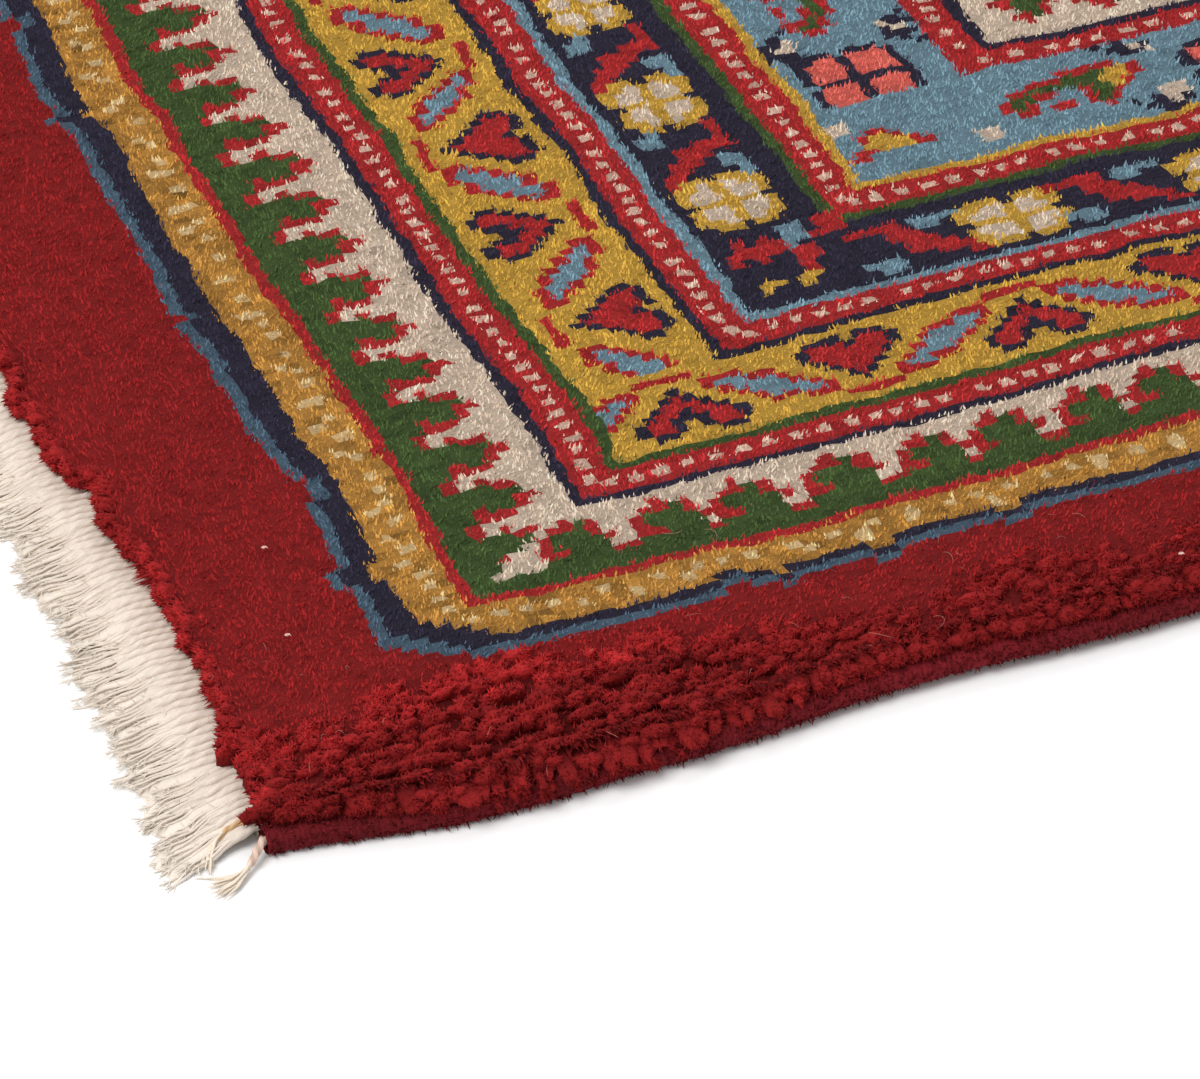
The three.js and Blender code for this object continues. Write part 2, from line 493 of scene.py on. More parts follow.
# The border, from its outer line in: knots deep along a long side, rows deep along an end, ground,
# painter of the motifs along a long side with their first place and repeat, and the same for an end.
# A band of hearts, rosettes or garden runs through along the long sides. The others are mitred.
HEARTS = (paint_hearts, 29, 14), (paint_turned_hearts, 41, 15.5)
ROSETTES = (paint_turned_rosettes, 62, 18), (paint_rosettes, 54, 18)
GARDEN = (paint_garden_from_leaf, 74, 15), (paint_garden, 68, 15)
BORDER = (
    (1, 1, "S", None),
    (1, 2, "N", None),
    (4, 4, "O", paint_wide_dots),
    (1, 1, "R", None),
    (9, 10, "C", ((paint_merlons, 16, 6.63), (paint_merlons, 12, 7))),
    (1, 1, "N", None),
    (3, 3, "R", paint_dots),
    (1, 1, "G", None),
    (11, 11, "Y", HEARTS),
    (1, 1, "N", None),
    (3, 3, "R", paint_dots),
    (1, 1, "B", None),
    (10, 10, "N", ROSETTES),
    (1, 1, "G", None),
    (3, 3, "R", paint_dots),
    (1, 1, "Y", None),
    (13, 13, "B", GARDEN),
    (3, 3, "R", paint_dots),
    (1, 1, "N", None),
    (10, 10, "C", ((paint_inner_merlons, 5, 7), (paint_inner_merlons, 5, 7))),
    (1, 1, "R", None),
    (2, 2, "Y", None),
)
MARGIN_ROWS = 14
MARGIN_KNOTS = 11


def paint_field(cells):
    """Rows of small flowers and sprigs, set crosswise on plain crimson."""
    step_rows, step_knots = 22, 24
    rows, knots = cells.shape
    for count, row in enumerate(range(rows // 2 % step_rows, rows, step_rows)):
        for other, knot in enumerate(range(knots // 2 % step_knots, knots, step_knots)):
            chart = FIELD_FLOWER if (count + other) % 2 == 0 else FIELD_SPRIG
            stamp(cells, chart, knot + 0.5, row + 0.5)


def strayed_line(distance, along, seed):
    """Where the outermost lines wander by a knot, because the weaver lost count."""
    stray = np.rint(0.66 * line_noise(along, 3.5, seed)).astype(int)
    return np.where((distance > -2) & (distance < 3), distance + stray, distance)


def make_design():
    """The dye of every knot, as rows by knots."""
    rows, knots = lattice(np.arange(ROWS), np.arange(KNOTS))
    from_end = np.minimum(rows, ROWS - 1 - rows) - MARGIN_ROWS
    from_side = np.minimum(knots, KNOTS - 1 - knots) - MARGIN_KNOTS
    quadrant = np.where(rows < ROWS / 2, 0, 1000) + np.where(knots < KNOTS / 2, 0, 3000)
    from_corner = np.floor(0.7 * (from_end + from_side) - 2.6).astype(int)
    cut_off = np.where(from_corner < 3, from_corner, ROWS)
    strayed_end = np.minimum(strayed_line(from_end, from_side + quadrant, 3), cut_off)
    strayed_side = np.minimum(strayed_line(from_side, from_end + quadrant, 4), cut_off)

    starts_side = np.cumsum([0] + [band[0] for band in BORDER])
    starts_end = np.cumsum([0] + [band[1] for band in BORDER])
    band_side = np.searchsorted(starts_side, strayed_side, side="right") - 1
    band_end = np.searchsorted(starts_end, strayed_end, side="right") - 1
    outermost = np.minimum(band_side, band_end)

    design = np.full((ROWS, KNOTS), ord("M"), np.uint8)
    longest = max(ROWS, KNOTS)
    for index, (deep_side, deep_end, ground, motifs) in enumerate(BORDER):
        side_cells = np.full((deep_side, longest), ord(ground), np.uint8)
        end_cells = np.full((deep_end, longest), ord(ground), np.uint8)
        if callable(motifs):
            motifs(side_cells, index % 2)
            motifs(end_cells, index % 2)
        elif motifs:
            for cells, (painter, first, step) in zip((side_cells, end_cells), motifs):
                painter(cells, first, step)
        here = outermost == index
        side_depth = np.clip(strayed_side - starts_side[index], 0, deep_side - 1)
        end_depth = np.clip(strayed_end - starts_end[index], 0, deep_end - 1)
        runs_through = here & (band_side == index)
        if motifs not in (HEARTS, ROSETTES, GARDEN):
            runs_through &= (band_end > index) | (side_depth <= end_depth)
        across = here & ~runs_through
        design[runs_through] = side_cells[side_depth[runs_through], np.maximum(from_end[runs_through], 0)]
        design[across] = end_cells[end_depth[across], np.maximum(from_side[across], 0)]

    first_row, first_knot = MARGIN_ROWS + starts_end[-1], MARGIN_KNOTS + starts_side[-1]
    field = design[first_row:ROWS - first_row, first_knot:KNOTS - first_knot]
    field[:] = ord("M")
    paint_field(field)
    for end in (1, -1):
        for side in (1, -1):
            corner = design[::end, ::side]
            stamp(corner, STAR, MARGIN_KNOTS + 57.5, MARGIN_ROWS + 58)
            stamp(corner, ("CC", "CC"), MARGIN_KNOTS + 61, MARGIN_ROWS + 55)
            stamp(corner, CORNER_TWIG, MARGIN_KNOTS + 43.5, MARGIN_ROWS + 45)
            stamp(corner, ("CC", "CC"), MARGIN_KNOTS + 10, MARGIN_ROWS + 13)
    return design


def dye_table():
    table = np.zeros((256, 3))
    for letter, screen in DYES.items():
        table[ord(letter)] = linear(screen)
    return table


DESIGN = make_design()
KNOT_COLOUR = dye_table()[DESIGN]
rng = np.random.default_rng(17)
UNEVEN = 0.08 + 0.09 * (DESIGN == ord("O")) + 0.04 * (DESIGN == ord("G"))
KNOT_COLOUR = KNOT_COLOUR * (1 + UNEVEN[..., None] * rng.standard_normal((ROWS, KNOTS, 1)))


def build_mesh(name, points, faces, smooth=True):
    mesh = bpy.data.meshes.new(name)
    corners = faces.shape[1]
    mesh.vertices.add(len(points))
    mesh.vertices.foreach_set("co", np.ascontiguousarray(points, np.float32).ravel())
    mesh.loops.add(faces.size)
    mesh.loops.foreach_set("vertex_index", np.ascontiguousarray(faces, np.int32).ravel())
    mesh.polygons.add(len(faces))
    mesh.polygons.foreach_set("loop_start", np.arange(0, faces.size, corners, dtype=np.int32))
    mesh.polygons.foreach_set("use_smooth", np.full(len(faces), smooth))
    mesh.update(calc_edges=True)
    return mesh


def add_piece(name, mesh, material):
    mesh.materials.append(material)
    piece = bpy.data.objects.new(name, mesh)
    bpy.context.scene.collection.objects.link(piece)
    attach(piece, "root")
    return piece


def add_colour_layer(mesh, colours, domain):
    """colours is one row of red, green and blue for each vertex or each face corner: the dye, with the
    painted shade and light of the piece in it where it has some.
    """
    layer = mesh.color_attributes.new("dye", "FLOAT_COLOR", domain)
    rgba = np.ones((len(colours), 4), np.float32)
    rgba[:, :3] = np.clip(colours, 0, 1)
    layer.data.foreach_set("color", rgba.ravel())


def add_map(mesh, places):
    """The map that surface detail is baked through: one place for each face corner."""
    layer = mesh.uv_layers.new(name="OFBake")
    layer.uv.foreach_set("vector", np.ascontiguousarray(places, np.float32).ravel())


def add_flat_map(mesh, flat, faces):
    """A map from a view of the piece, where flat is the place of each vertex in the view."""
    low, high = flat.min(0), flat.max(0)
    share = (flat[faces.ravel()] - low) / (high - low)
    add_map(mesh, 0.01 + 0.98 * share)


def unit(vectors):
    return vectors / np.linalg.norm(vectors, axis=-1, keepdims=True)


def numbered(*shape):
    """Numbers of points that are set out in rows, or in rings along strands."""
    return np.arange(math.prod(shape)).reshape(shape)


def quads(*corners):
    """Four-cornered faces, from the numbers of their first, second, third and fourth corners."""
    return np.stack(corners, -1).reshape(-1, 4)


def ring_faces(strands, rings, sides):
    """Faces round strands whose points are numbered ring by ring."""
    number = numbered(strands, rings, sides)
    after = np.roll(number, -1, axis=2)
    return quads(number[:, :-1], after[:, :-1], after[:, 1:], number[:, 1:])


# Knots in the picture carry single tufts. Past its edge these thin out over a stretch.
TUFTS_LEVEL = 7.2  # tufts to a knot in the level pile
SHOWN_MARGIN = 0.015
FADE_SHARE = 0.05
TUFT_DEPTH = 1.1 * MM  # how far the tufts stand out of the facets below them
OPEN_DEPTH = 2.4 * MM  # how much deeper these lie where the pile opens into lobes
FACET_SHADE = 0.65  # of the dye, on facets that stand for tufts and the shadows between them
SHADE_UNDER_TUFTS = 0.58  # painted shade: the share of the dye on facets that lie deep under tufts, in their shadow


def tuft_share(x, y):
    """1 where the camera sees the pile, falling to 0 a little way outside the picture."""
    points = on_cloth(x, y, np.full_like(x, PILE_TOP))
    across, up = frame_place(points)
    outside = np.maximum(np.abs(across), np.abs(up)) - 0.5 - SHOWN_MARGIN
    return np.clip(1 - outside / FADE_SHARE, 0, 1)


def openness(x, y):
    """How far the pile parts into lobes: wholly where it bends over beside a long edge, less at an end."""
    narrower = profile(x - LEFT, (90, 150), (1, 0.55))
    ragged_side = side_inset(y) + 6 * MM * lattice_noise(x, y, 15 * MM, 111)
    beside = profile(ragged_side / narrower, (15, 28), (1, 0))
    beside = beside * profile(x - LEFT, (0, 30, 65, 105, 150), (0.5, 0.75, 1, 0.9, 0.55))
    ragged_end = end_inset(x) + 3 * MM * lattice_noise(x, y, 9 * MM, 112)
    return np.maximum(beside, profile(ragged_end, (1, 5), (0.4, 0)))


def rim_height(x, y):
    return np.interp(np.minimum(end_inset(x), side_inset(y)), RIM_INSET, RIM_HEIGHT)


def pile_swell(x, y):
    return sum(
        size * np.sin(2 * np.pi * (x / along_x + y / along_y) + start)
        for size, along_x, along_y, start in PILE_WAVES
    )


def pile_top(x, y):
    """Height of the ends of the tufts above the level cloth."""
    lumps = layered_noise(x, y, (0.35 * MM, 9 * MM, 5), (0.2 * MM, 4 * MM, 6))
    return rim_height(x, y) + pile_swell(x, y) + lumps


ZONES = 4
FOLDS = 3  # rows that each zone's map is folded into
MAP_EDGE = 0.004  # left free round each row of a map
KNOT_SHIFT = 0.28  # of the pitch, by which a knot is off its even place


def folded_map(columns, rows):
    """Where the corners of a grid of facets fall on their map, whose columns are folded into a few rows."""
    fold = (columns + 1) // FOLDS + 1
    column = np.arange(columns)
    left, right = column % fold / fold, (column % fold + 1) / fold
    low, high = np.arange(rows) / rows, np.arange(1, rows + 1) / rows
    base = column // fold / FOLDS

    def corner(u, v):
        across = MAP_EDGE + (1 - 2 * MAP_EDGE) * u[:, None]
        rise = base[:, None] + (MAP_EDGE + (1 - 2 * MAP_EDGE) * v[None, :]) / FOLDS
        return np.stack(np.broadcast_arrays(across, rise), -1)

    corners = [corner(u, v) for u, v in ((left, low), (right, low), (right, high), (left, high))]
    return np.stack(corners, 2).reshape(-1, 2)


def pile_zone(index):
    """The facets of one long stretch of the pile, one for each knot, with its side walls."""
    first = index * KNOTS // ZONES
    last = (index + 1) * KNOTS // ZONES
    row_lines = np.concatenate([[0], np.arange(ROWS + 1), [ROWS]])
    knot_lines = np.arange(first, last + 1)
    wall_left = np.zeros(len(row_lines), bool)
    wall_left[[0, -1]] = True
    wall_front = np.zeros(len(knot_lines), bool)
    if index == 0:
        knot_lines, wall_front = np.append(first, knot_lines), np.append(True, wall_front)
    if index == ZONES - 1:
        knot_lines, wall_front = np.append(knot_lines, last), np.append(wall_front, True)

    line_x, line_y = lattice(row_lines, knot_lines)
    foot = wall_left[:, None] | wall_front[None, :]
    x, y = cloth_place(line_x, line_y)
    x = drawn_in(x, y)
    inner = (line_x > 0) & (line_x < ROWS) & (line_y > 0) & (line_y < KNOTS)
    shift = KNOT_SHIFT * inner
    x = x + ROW_PITCH * shift * lattice_noise(line_x, line_y, 1, 11)
    y = y + KNOT_PITCH * shift * lattice_noise(line_x, line_y, 1, 12)
    sunk = (TUFT_DEPTH + OPEN_DEPTH * openness(x, y)) * tuft_share(x, y)
    crest = pile_top(x, y) - sunk - 0.3 * MM
    z = np.where(foot, FOUNDATION - 0.5 * MM, crest)
    number = numbered(*line_x.shape)
    faces = quads(number[:-1, :-1], number[1:, :-1], number[1:, 1:], number[:-1, 1:])
    mesh = build_mesh(f"pile_{index + 1}", on_cloth(x, y, z).reshape(-1, 3), faces)

    row_of = np.clip(np.minimum(line_x[:-1, :-1], line_x[1:, 1:]), 0, ROWS - 1)
    knot_of = np.clip(np.minimum(line_y[:-1, :-1], line_y[1:, 1:]), 0, KNOTS - 1)
    knot_x, knot_y = cloth_place(row_of + 0.5, knot_of + 0.5)
    share = tuft_share(knot_x, knot_y)
    # Painted shade: facets darkened for the shadows among the tufts, and darker still where the pile opens
    # into crevices
    shade = FACET_SHADE * (1 - share) + (SHADE_UNDER_TUFTS - 0.33 * openness(knot_x, knot_y)) * share
    colours = (KNOT_COLOUR[row_of, knot_of] * shade[..., None]).reshape(-1, 3)
    add_colour_layer(mesh, np.repeat(colours, 4, axis=0), "CORNER")
    add_map(mesh, folded_map(len(row_lines) - 1, len(knot_lines) - 1))
    return mesh


def spikes(roots, tips, radius, turn):
    """Thin three-sided spikes: four points and three faces each."""
    axis = unit(tips - roots)
    side = unit(np.cross(axis, np.array((0.0, 1.0, 0.0))))
    other = np.cross(axis, side)
    corners = []
    for third in range(3):
        angle = turn + third * 2 * np.pi / 3
        aside = np.cos(angle)[:, None] * side + np.sin(angle)[:, None] * other
        corners.append(roots + radius[:, None] * aside)
    points = np.stack([*corners, tips], 1).reshape(-1, 3)
    first = 4 * np.arange(len(roots))[:, None]
    faces = np.stack([first + [0, 1, 3], first + [1, 2, 3], first + [2, 0, 3]], 1).reshape(-1, 3)
    return points, faces


def spike_normals(points, lay):
    """Normals between each spike's own sides and the lay of the pile, so that light flows over it."""
    groups = points.reshape(-1, 4, 3)
    outward = groups - groups.mean(1, keepdims=True)
    outward[:, 3] = groups[:, 3] - groups[:, :3].mean(1)
    return unit(unit(outward) * 0.65 + lay[:, None, :]).reshape(-1, 3)


def lean_field(x, y):
    """Which way the pile leans: it is brushed about in patches and falls outward at the edges."""
    patch_x = layered_noise(x, y, (0.13, 22 * MM, 21), (0.12, 7 * MM, 22))
    patch_y = layered_noise(x, y, (0.13, 22 * MM, 23), (0.12, 7 * MM, 24))
    end, side = end_inset(x), side_inset(y)
    outward_x = np.sign(x) * (0.5 * np.exp(-end / (3 * MM)) + 0.25 * np.exp(-end / (14 * MM)))
    outward_y = np.sign(y) * (0.9 * np.exp(-side / (3.5 * MM)) + 0.4 * np.exp(-side / (14 * MM)))
    return patch_x + outward_x, patch_y + outward_y


def tuft_mesh(name, roots, tips, radius, turn, colours, lay, root_shade):
    """One mesh of spikes, with painted shade at the root, where the tufts shade each other, rising to a tip
    that is painted a little lighter.
    """
    points, faces = spikes(roots, tips, radius, turn)
    keep_above(points, 0)
    mesh = build_mesh(name, points, faces)
    mesh.normals_split_custom_set_from_vertices(spike_normals(points, lay))
    # Painted shade: the three root corners darkened, the tip a little lighter than the dye
    shade = np.array((root_shade, root_shade, root_shade, 1.1))
    shaded_colours = colours[:, None, :] * shade[None, :, None]
    add_colour_layer(mesh, shaded_colours.reshape(-1, 3), "POINT")
    add_flat_map(mesh, points[:, :2], faces)
    return mesh


TUFT_SPREAD = 1.35  # of the pitch, over which a knot's tufts stand
MOST_TUFTS = 64000  # in one piece


def tuft_pieces(material):
    """Single tufts of wool over the part of the pile that the camera sees."""
    random = np.random.default_rng(29)
    rows, knots = lattice(np.arange(ROWS), np.arange(KNOTS))
    x, y = cloth_place(rows + 0.5, knots + 0.5)
    wanted = TUFTS_LEVEL * (1 - 0.7 * openness(x, y))
    count = np.floor(wanted * tuft_share(x, y) + random.random(x.shape)).astype(int)
    row, knot = np.nonzero(count)
    number = count[row, knot]
    row, knot = np.repeat(row, number), np.repeat(knot, number)
    total = len(row)
    aside = random.random((total, 2)) - 0.5
    x, y = cloth_place(row + 0.5 + TUFT_SPREAD * aside[:, 0], knot + 0.5 + TUFT_SPREAD * aside[:, 1])
    x = drawn_in(x, y)
    opened = openness(x, y)
    knot_lean = np.random.default_rng(31).standard_normal((ROWS, KNOTS, 2))[row, knot]
    lean = np.stack(lean_field(x, y), 1)
    lean = lean + 0.2 * knot_lean - 0.1 * aside + 0.12 * random.standard_normal((total, 2))
    top = pile_top(x, y) - 1.6 * MM * (aside ** 2).sum(1) - 1.2 * MM * opened
    top = top + 0.25 * MM * random.standard_normal(total)
    depth = TUFT_DEPTH + 1.2 * MM + OPEN_DEPTH * opened
    roots = on_cloth(x, y, top - depth)
    leaning = unit(np.concatenate([lean, np.ones((total, 1))], 1))
    tips = roots + leaning * (depth + 0.22 * MM * random.standard_normal(total))[:, None]
    radius = (0.5 + 0.15 * random.random(total)) * MM
    turn = random.random(total) * 2 * np.pi
    # Painted light and shade: tufts lighter in a band a little in from the front edge, where more light
    # falls, and darker where the pile opens, for the shade in its crevices. The rest is random tone.
    beside = profile(side_inset(y), (8, 20, 30), (1, 1.3, 1.1))
    tone = (1.07 + 0.2 * random.standard_normal(total)) * (1 - 0.3 * opened) * beside
    tint = KNOT_COLOUR[row, knot] * tone[:, None]
    lay = leaning * 0.35 + np.array((0, 0, 0.5))
    order = np.argsort(x, kind="stable")
    pieces = []
    for part, chosen in enumerate(np.array_split(order, math.ceil(total / MOST_TUFTS))):
        name = f"tufts_{part + 1}"
        chosen_tufts = [values[chosen] for values in (roots, tips, radius, turn, tint, lay)]
        mesh = tuft_mesh(name, *chosen_tufts, 0.5)
        pieces.append(add_piece(name, mesh, material))
    return pieces


# Soft lobes of pile beside the edges that are seen
LOBE_PITCH = np.array((4.3, 2.6)) * MM
LOBE_ROOT = 4.5 * MM
LOBE_ALONG = np.array((0.0, 0.5, 0.8, 0.94, 1.0))
LOBE_GIRTH = np.array((0.8, 1.0, 0.96, 0.74, 0.05))
# Painted shade along each lobe: dark at its root, where the lobes shade each other, full at its tip
LOBE_SHADE = np.array((0.35, 0.62, 0.88, 1.0, 1.03))
LOBE_TILT = np.array((0.0, 0.15, 0.6, 1.5, 4.0))
LOBE_SIDES = 10
LOBE_FUZZ = 42  # spikes of short wool on each lobe
SEEN_FRONT = 265 * MM
SEEN_END = 195 * MM


def overhang_at(x):
    """How far the pile flops over the overcast edge: little at the corner, wholly further along."""
    return profile(x - LEFT, (0, 20, 42, 85, 110, 150), (0.12, 0.4, 0.82, 1.0, 0.75, 0.42))


def jittered(columns, rows, pitch, seed):
    """Places of an uneven lattice, counted along an edge and in from it."""
    i, j = (index.ravel() for index in lattice(np.arange(columns), np.arange(rows)))
    along = (i + 0.5 + 0.5 * (j % 2) + 0.6 * cell_value(i, j, seed)) * pitch[0]
    inward = (j + 0.4 + 0.55 * cell_value(i, j, seed + 1)) * pitch[1]
    return along, inward, cell_value(i, j, seed + 2), cell_value(i, j, seed + 3)


def front_lobes():
    """Roots, tips, half thickness and half width of the lobes that bend over the front edge."""
    along, inward, odd, lift = jittered(int(SEEN_FRONT / LOBE_PITCH[0]), 11, LOBE_PITCH, 121)
    x, y = LEFT + along, FRONT + inward
    strength = openness(x, y)
    kept = strength > 0.1
    x, y, inward, odd, lift, strength = (value[kept] for value in (x, y, inward, odd, lift, strength))
    rise = pile_top(x, y) + (0.7 * lift - 0.2 - 1.1 * (1 - strength)) * MM - LOBE_ROOT
    outward = 0.85 * np.exp(-inward / (5 * MM)) * overhang_at(x) + 0.4 * np.exp(-inward / (14 * MM))
    lean = np.stack([-0.15 + 0.35 * odd, -outward - 0.15 * lift, 1 - 0.28 * outward], 1)
    roots = on_cloth(x, y, LOBE_ROOT)
    width = 2.7 + 1.3 * cell_value(np.arange(len(x)), 0, 125)
    return roots, roots + lean * rise[:, None], (1.55 + 0.35 * odd) * MM, width * MM


def front_wall_lobes():
    """Lobes that stand out of the front wall of the pile and droop over the overcast edge."""
    pitch = (3.5 * MM, 1.0)
    tiers = 3
    along, _, odd, lift = jittered(int(SEEN_FRONT / pitch[0]), tiers, pitch, 131)
    tier = np.arange(len(along)) % tiers
    x = LEFT + 2.4 * MM + along
    over = overhang_at(x)
    reach = 2.4 + 5.6 * over + 1.7 * odd * over - 0.6 * tier
    drop = 0.2 + (3.0 + 0.25 * tier) * over * (1 + 0.3 * lift)
    roots = on_cloth(x, np.full(len(x), FRONT + 3 * MM), (7.6 - 0.8 * tier) * MM)
    tips = on_cloth(x, np.full(len(x), FRONT), (9.2 - 1.3 * tier + 0.4 * lift - drop) * MM)
    tips = tips + np.stack([-0.6 + 1.4 * odd, -reach, 0 * x], 1) * MM
    width = 2.0 + 0.9 * cell_value(np.arange(len(x)), tier, 135)
    return roots, tips, (1.3 + 0.3 * lift) * MM, width * MM


def end_lobes():
    """Lobes that stand out of the end wall of the pile, over the roots of the fringe."""
    pitch = (3.6 * MM, 1.0)
    along, _, odd, lift = jittered(int(SEEN_END / pitch[0]), 2, pitch, 141)
    low = np.arange(len(along)) % 2
    y = FRONT + along
    edge = drawn_in(np.full(len(y), LEFT), y)
    roots = on_cloth(edge + 3.6 * MM, y, (7.4 - 1.4 * low) * MM)
    tips = on_cloth(edge, y, (10.0 - 2.6 * low + 0.4 * lift) * MM)
    tips = tips + np.stack([-1.6 - 0.5 * low - 0.8 * odd, 0.9 * odd, 0 * y], 1) * MM
    return roots, tips, (1.5 + 0.2 * lift) * MM, (2.3 + 0.5 * odd) * MM


def lobe_pieces(skin, fuzz):
    """The lobes themselves, and the short wool that stands off them."""
    random = np.random.default_rng(67)
    groups = (front_lobes(), front_wall_lobes(), end_lobes())
    roots, tips, girth, width = (np.concatenate(values) for values in zip(*groups))
    total, rings = len(roots), len(LOBE_ALONG)
    at_end = np.arange(total) >= total - len(groups[-1][0])
    edge = np.where(at_end[:, None], (0.0, 1.0, 0.0), (1.0, 0.0, 0.0))
    ahead = unit(tips - roots)
    side = unit(edge - ahead * (edge * ahead).sum(1, keepdims=True))
    above = np.cross(ahead, side)
    angle = around(LOBE_SIDES)
    side_share = side[:, None, :] * np.cos(angle)[None, :, None]
    above_share = above[:, None, :] * np.sin(angle)[None, :, None]
    wide, thick = width[:, None, None], girth[:, None, None]
    ring_out = side_share * wide + above_share * thick
    facing = unit(side_share / wide + above_share / thick)
    wobble = random.standard_normal((total, rings, LOBE_SIDES, 1))
    wobble = 1 + 0.15 * (wobble + np.roll(wobble, 1, axis=2))
    swell = LOBE_GIRTH[None, :, None, None] * wobble
    spine = roots[:, None, :] + (tips - roots)[:, None, :] * LOBE_ALONG[None, :, None]
    points = spine[:, :, None, :] + ring_out[:, None, :, :] * swell
    keep_above(points, 0.8 * MM)
    normals = unit(facing[:, None, :, :] + ahead[:, None, None, :] * LOBE_TILT[None, :, None, None])

    # Painted light and shade: lobes at the very front edge darker, where they bend down into shade, and
    # lighter further in and along the end, where the light falls on them. The rest is random tone.
    inset = roots[:, 1] - FRONT + 30 * MM * at_end
    brighter = profile(inset, (2, 8, 16), (0.85, 1.04, 1.34))
    brighter = brighter * (1 + 0.06 * random.standard_normal(total))
    dye = KNOT_COLOUR[knot_at(roots[:, 0], roots[:, 1], MARGIN_ROWS - 2, MARGIN_KNOTS - 2)]
    tint = dye * brighter[:, None]
    flat = points.reshape(-1, 3)
    faces = ring_faces(total, rings, LOBE_SIDES)
    mesh = build_mesh("lobes", flat, faces)
    shade = np.repeat(LOBE_SHADE, LOBE_SIDES).reshape(1, rings, LOBE_SIDES, 1)
    add_colour_layer(mesh, (shade * tint[:, None, None, :]).reshape(-1, 3), "POINT")
    add_flat_map(mesh, flat[:, :2] + flat[:, 2:] * (0.35, -0.5), faces)
    lobes = add_piece("lobes", mesh, skin)
    return [lobes, lobe_fuzz(points, normals, ahead, tint, fuzz, random)]


def lobe_fuzz(points, normals, ahead, tint, material, random):
    """Short wool that stands off the lobes. The points and normals are set out by lobe, ring and side."""
    lobes, rings, sides, _ = points.shape
    total = lobes * LOBE_FUZZ
    lobe = np.repeat(np.arange(lobes), LOBE_FUZZ)
    ring, at = random.integers(1, rings - 1, total), random.integers(0, sides, total)
    share = random.random((total, 1))
    beside = (at + 1) % sides
    foot = points[lobe, ring, at] * (1 - share) + points[lobe, ring, beside] * share
    further = points[lobe, ring + 1, at] * (1 - share) + points[lobe, ring + 1, beside] * share
    foot = foot + (further - foot) * random.random((total, 1))
    out = unit(normals[lobe, ring, at] * (1 - share) + normals[lobe, ring, beside] * share)
    heading = unit(out * 0.7 + ahead[lobe] * 0.55 + 0.5 * random.standard_normal((total, 3)))
    reach = (0.7 + 1.1 * random.random(total)) * MM
    # Painted shade: fuzz near a lobe's root darker than fuzz near its tip, with random tone on top
    tone = (0.72 + 0.12 * ring + 0.26 * random.standard_normal(total))[:, None]
    radius = (0.22 + 0.16 * random.random(total)) * MM
    tips = foot + heading * reach[:, None]
    keep_above(tips, 0.5 * MM)
    turn = random.random(total) * FULL_TURN
    roots = foot - out * 0.15 * MM
    mesh = tuft_mesh("lobe_fuzz", roots, tips, radius, turn, tint[lobe] * np.abs(tone), out * 0.6, 0.7)
    return add_piece("lobe_fuzz", mesh, material)


# Tufts that stray out over the fringe: distance from the front edge and reach
STRAY_TUFTS = ((90 * MM, 6.5 * MM), (43 * MM, 5.5 * MM), (151 * MM, 4.0 * MM))
SEEN_WALL = 265 * MM  # how far along an edge its tufts are closely set
SEEN_DENSITY = 7  # tufts to a millimetre
PLAIN_DENSITY = 1.6


def wall_places(seen, random):
    """Places along the sides of the pile, and which way is out at each of them."""
    places, outwards = [], []
    for axis, length, other in ((0, WIDTH, LENGTH), (1, LENGTH, WIDTH)):
        stretch, density = (SEEN_WALL, SEEN_DENSITY) if seen else (length, PLAIN_DENSITY)
        for side in (-1,) if seen else (-1, 1):
            along = -length / 2 + stretch * random.random(int(stretch / MM * density))
            if not seen and side < 0:
                along = along[along > -length / 2 + SEEN_WALL]
            across = np.full(len(along), side * (other / 2 - 0.6 * MM))
            across = drawn_in(across, along) if axis == 0 else across
            places.append(np.stack((across, along) if axis == 0 else (along, across), 1))
            outward = np.zeros((len(along), 2))
            outward[:, axis] = side
            outwards.append(outward)
    return np.concatenate(places), np.concatenate(outwards)


